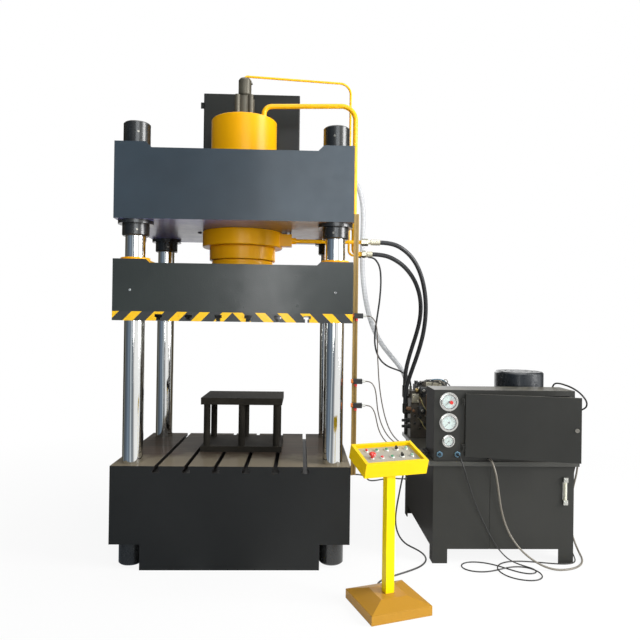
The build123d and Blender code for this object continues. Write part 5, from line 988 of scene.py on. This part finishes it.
world = bpy.data.worlds.new("studio")
scene.world = world
world.use_nodes = True
sky = world.node_tree
sky.nodes.clear()
out = addNode(sky, "OutputWorld")
direction = addNode(sky, "SeparateXYZ", {0: addNode(sky, "TexCoord").outputs["Generated"]})
roomTone = ramp(sky, direction.outputs["Z"], -0.4, 0.9, roomLight["floorTone"], roomLight["skyTone"])
roomTone = times(sky, roomTone, ramp(sky, direction.outputs["X"], -0.9, 0.3, roomLight["leftShare"], 1.0))
room = addNode(sky, "Background", {"Strength": roomTone})
room.inputs["Color"].default_value = (0.95, 0.98, 1.0, 1.0)
compass = math2(sky, "ARCTAN2", direction.outputs["X"], times(sky, direction.outputs["Y"], -1.0))
panorama = addPanorama(sky, compass)
mirrored = addNode(sky, "Background", {"Color": panorama})
plain = addNode(sky, "Background")
plain.inputs["Color"].default_value = (1, 1, 1, 1)
path = addNode(sky, "LightPath")
seen = math2(sky, "MAXIMUM", path.outputs["Is Camera Ray"], path.outputs["Is Transmission Ray"])
glossy = addNode(sky, "MixShader", {0: path.outputs["Is Glossy Ray"], 1: room.outputs[0], 2: mirrored.outputs[0]})
blend = addNode(sky, "MixShader", {0: seen, 1: glossy.outputs[0], 2: plain.outputs[0]})
sky.links.new(blend.outputs[0], out.inputs["Surface"])


def softLamp(name, place, aim, size, watts, tint=(1, 1, 1)):
    data = bpy.data.lights.new(name, "AREA")
    data.shape = "RECTANGLE"
    data.size, data.size_y = size
    data.energy = watts
    data.color = tint
    lamp = bpy.data.objects.new(name, data)
    scene.collection.objects.link(lamp)
    lamp.location = place
    lamp.rotation_euler = (Vector(aim) - Vector(place)).to_track_quat("-Z", "Y").to_euler()


for lampName, (place, aim, size, watts, tint) in lampRows.items():
    softLamp(lampName, place, aim, size, watts, tint)

bm = bmesh.new()
bmesh.ops.create_circle(bm, cap_ends=True, segments=96, radius=14.0, matrix=Matrix.Translation((0.6, 0, -0.0005)))
floorData = bpy.data.meshes.new("floor")
bm.to_mesh(floorData)
bm.free()
floorLook, floorTree, floorShader = newMaterial("paleFloor")
floorShader.inputs["Base Color"].default_value = (0.86, 0.86, 0.85, 1)
floorShader.inputs["Roughness"].default_value = 0.85
floorPath = addNode(floorTree, "LightPath")
floorSplit = objectAxes(floorTree)
viewed = math2(floorTree, "MAXIMUM", floorPath.outputs["Is Camera Ray"], floorPath.outputs["Is Transmission Ray"])
bearing = math2(floorTree, "ARCTAN2", floorSplit["X"], times(floorTree, floorSplit["Y"], -1.0))
floorTone = mixColour(floorTree, viewed, addPanorama(floorTree, bearing), (1, 1, 1, 1))
floorGlow = addNode(floorTree, "Emission", {"Color": floorTone})
reach = vectorMath(floorTree, "DISTANCE", objectPlace(floorTree), (0.7, -0.2, 0.0), "Value")
floorSeen = math2(floorTree, "MAXIMUM", viewed, floorPath.outputs["Is Glossy Ray"])
floorSeen = times(floorTree, floorSeen, ramp(floorTree, reach, 2.0, 5.5, 0.9, 1.0))
floorMix = addNode(floorTree, "MixShader", {0: floorSeen})
floorOut = next(n for n in floorTree.nodes if n.type == "OUTPUT_MATERIAL")
floorTree.links.new(floorShader.outputs[0], floorMix.inputs[1])
floorTree.links.new(floorGlow.outputs[0], floorMix.inputs[2])
floorTree.links.new(floorMix.outputs[0], floorOut.inputs["Surface"])
floorData.materials.append(floorLook)
floor = bpy.data.objects.new("floor", floorData)
scene.collection.objects.link(floor)
scene.view_settings.view_transform = "Standard"
print("stage: light, floor")

bpy.context.view_layer.update()
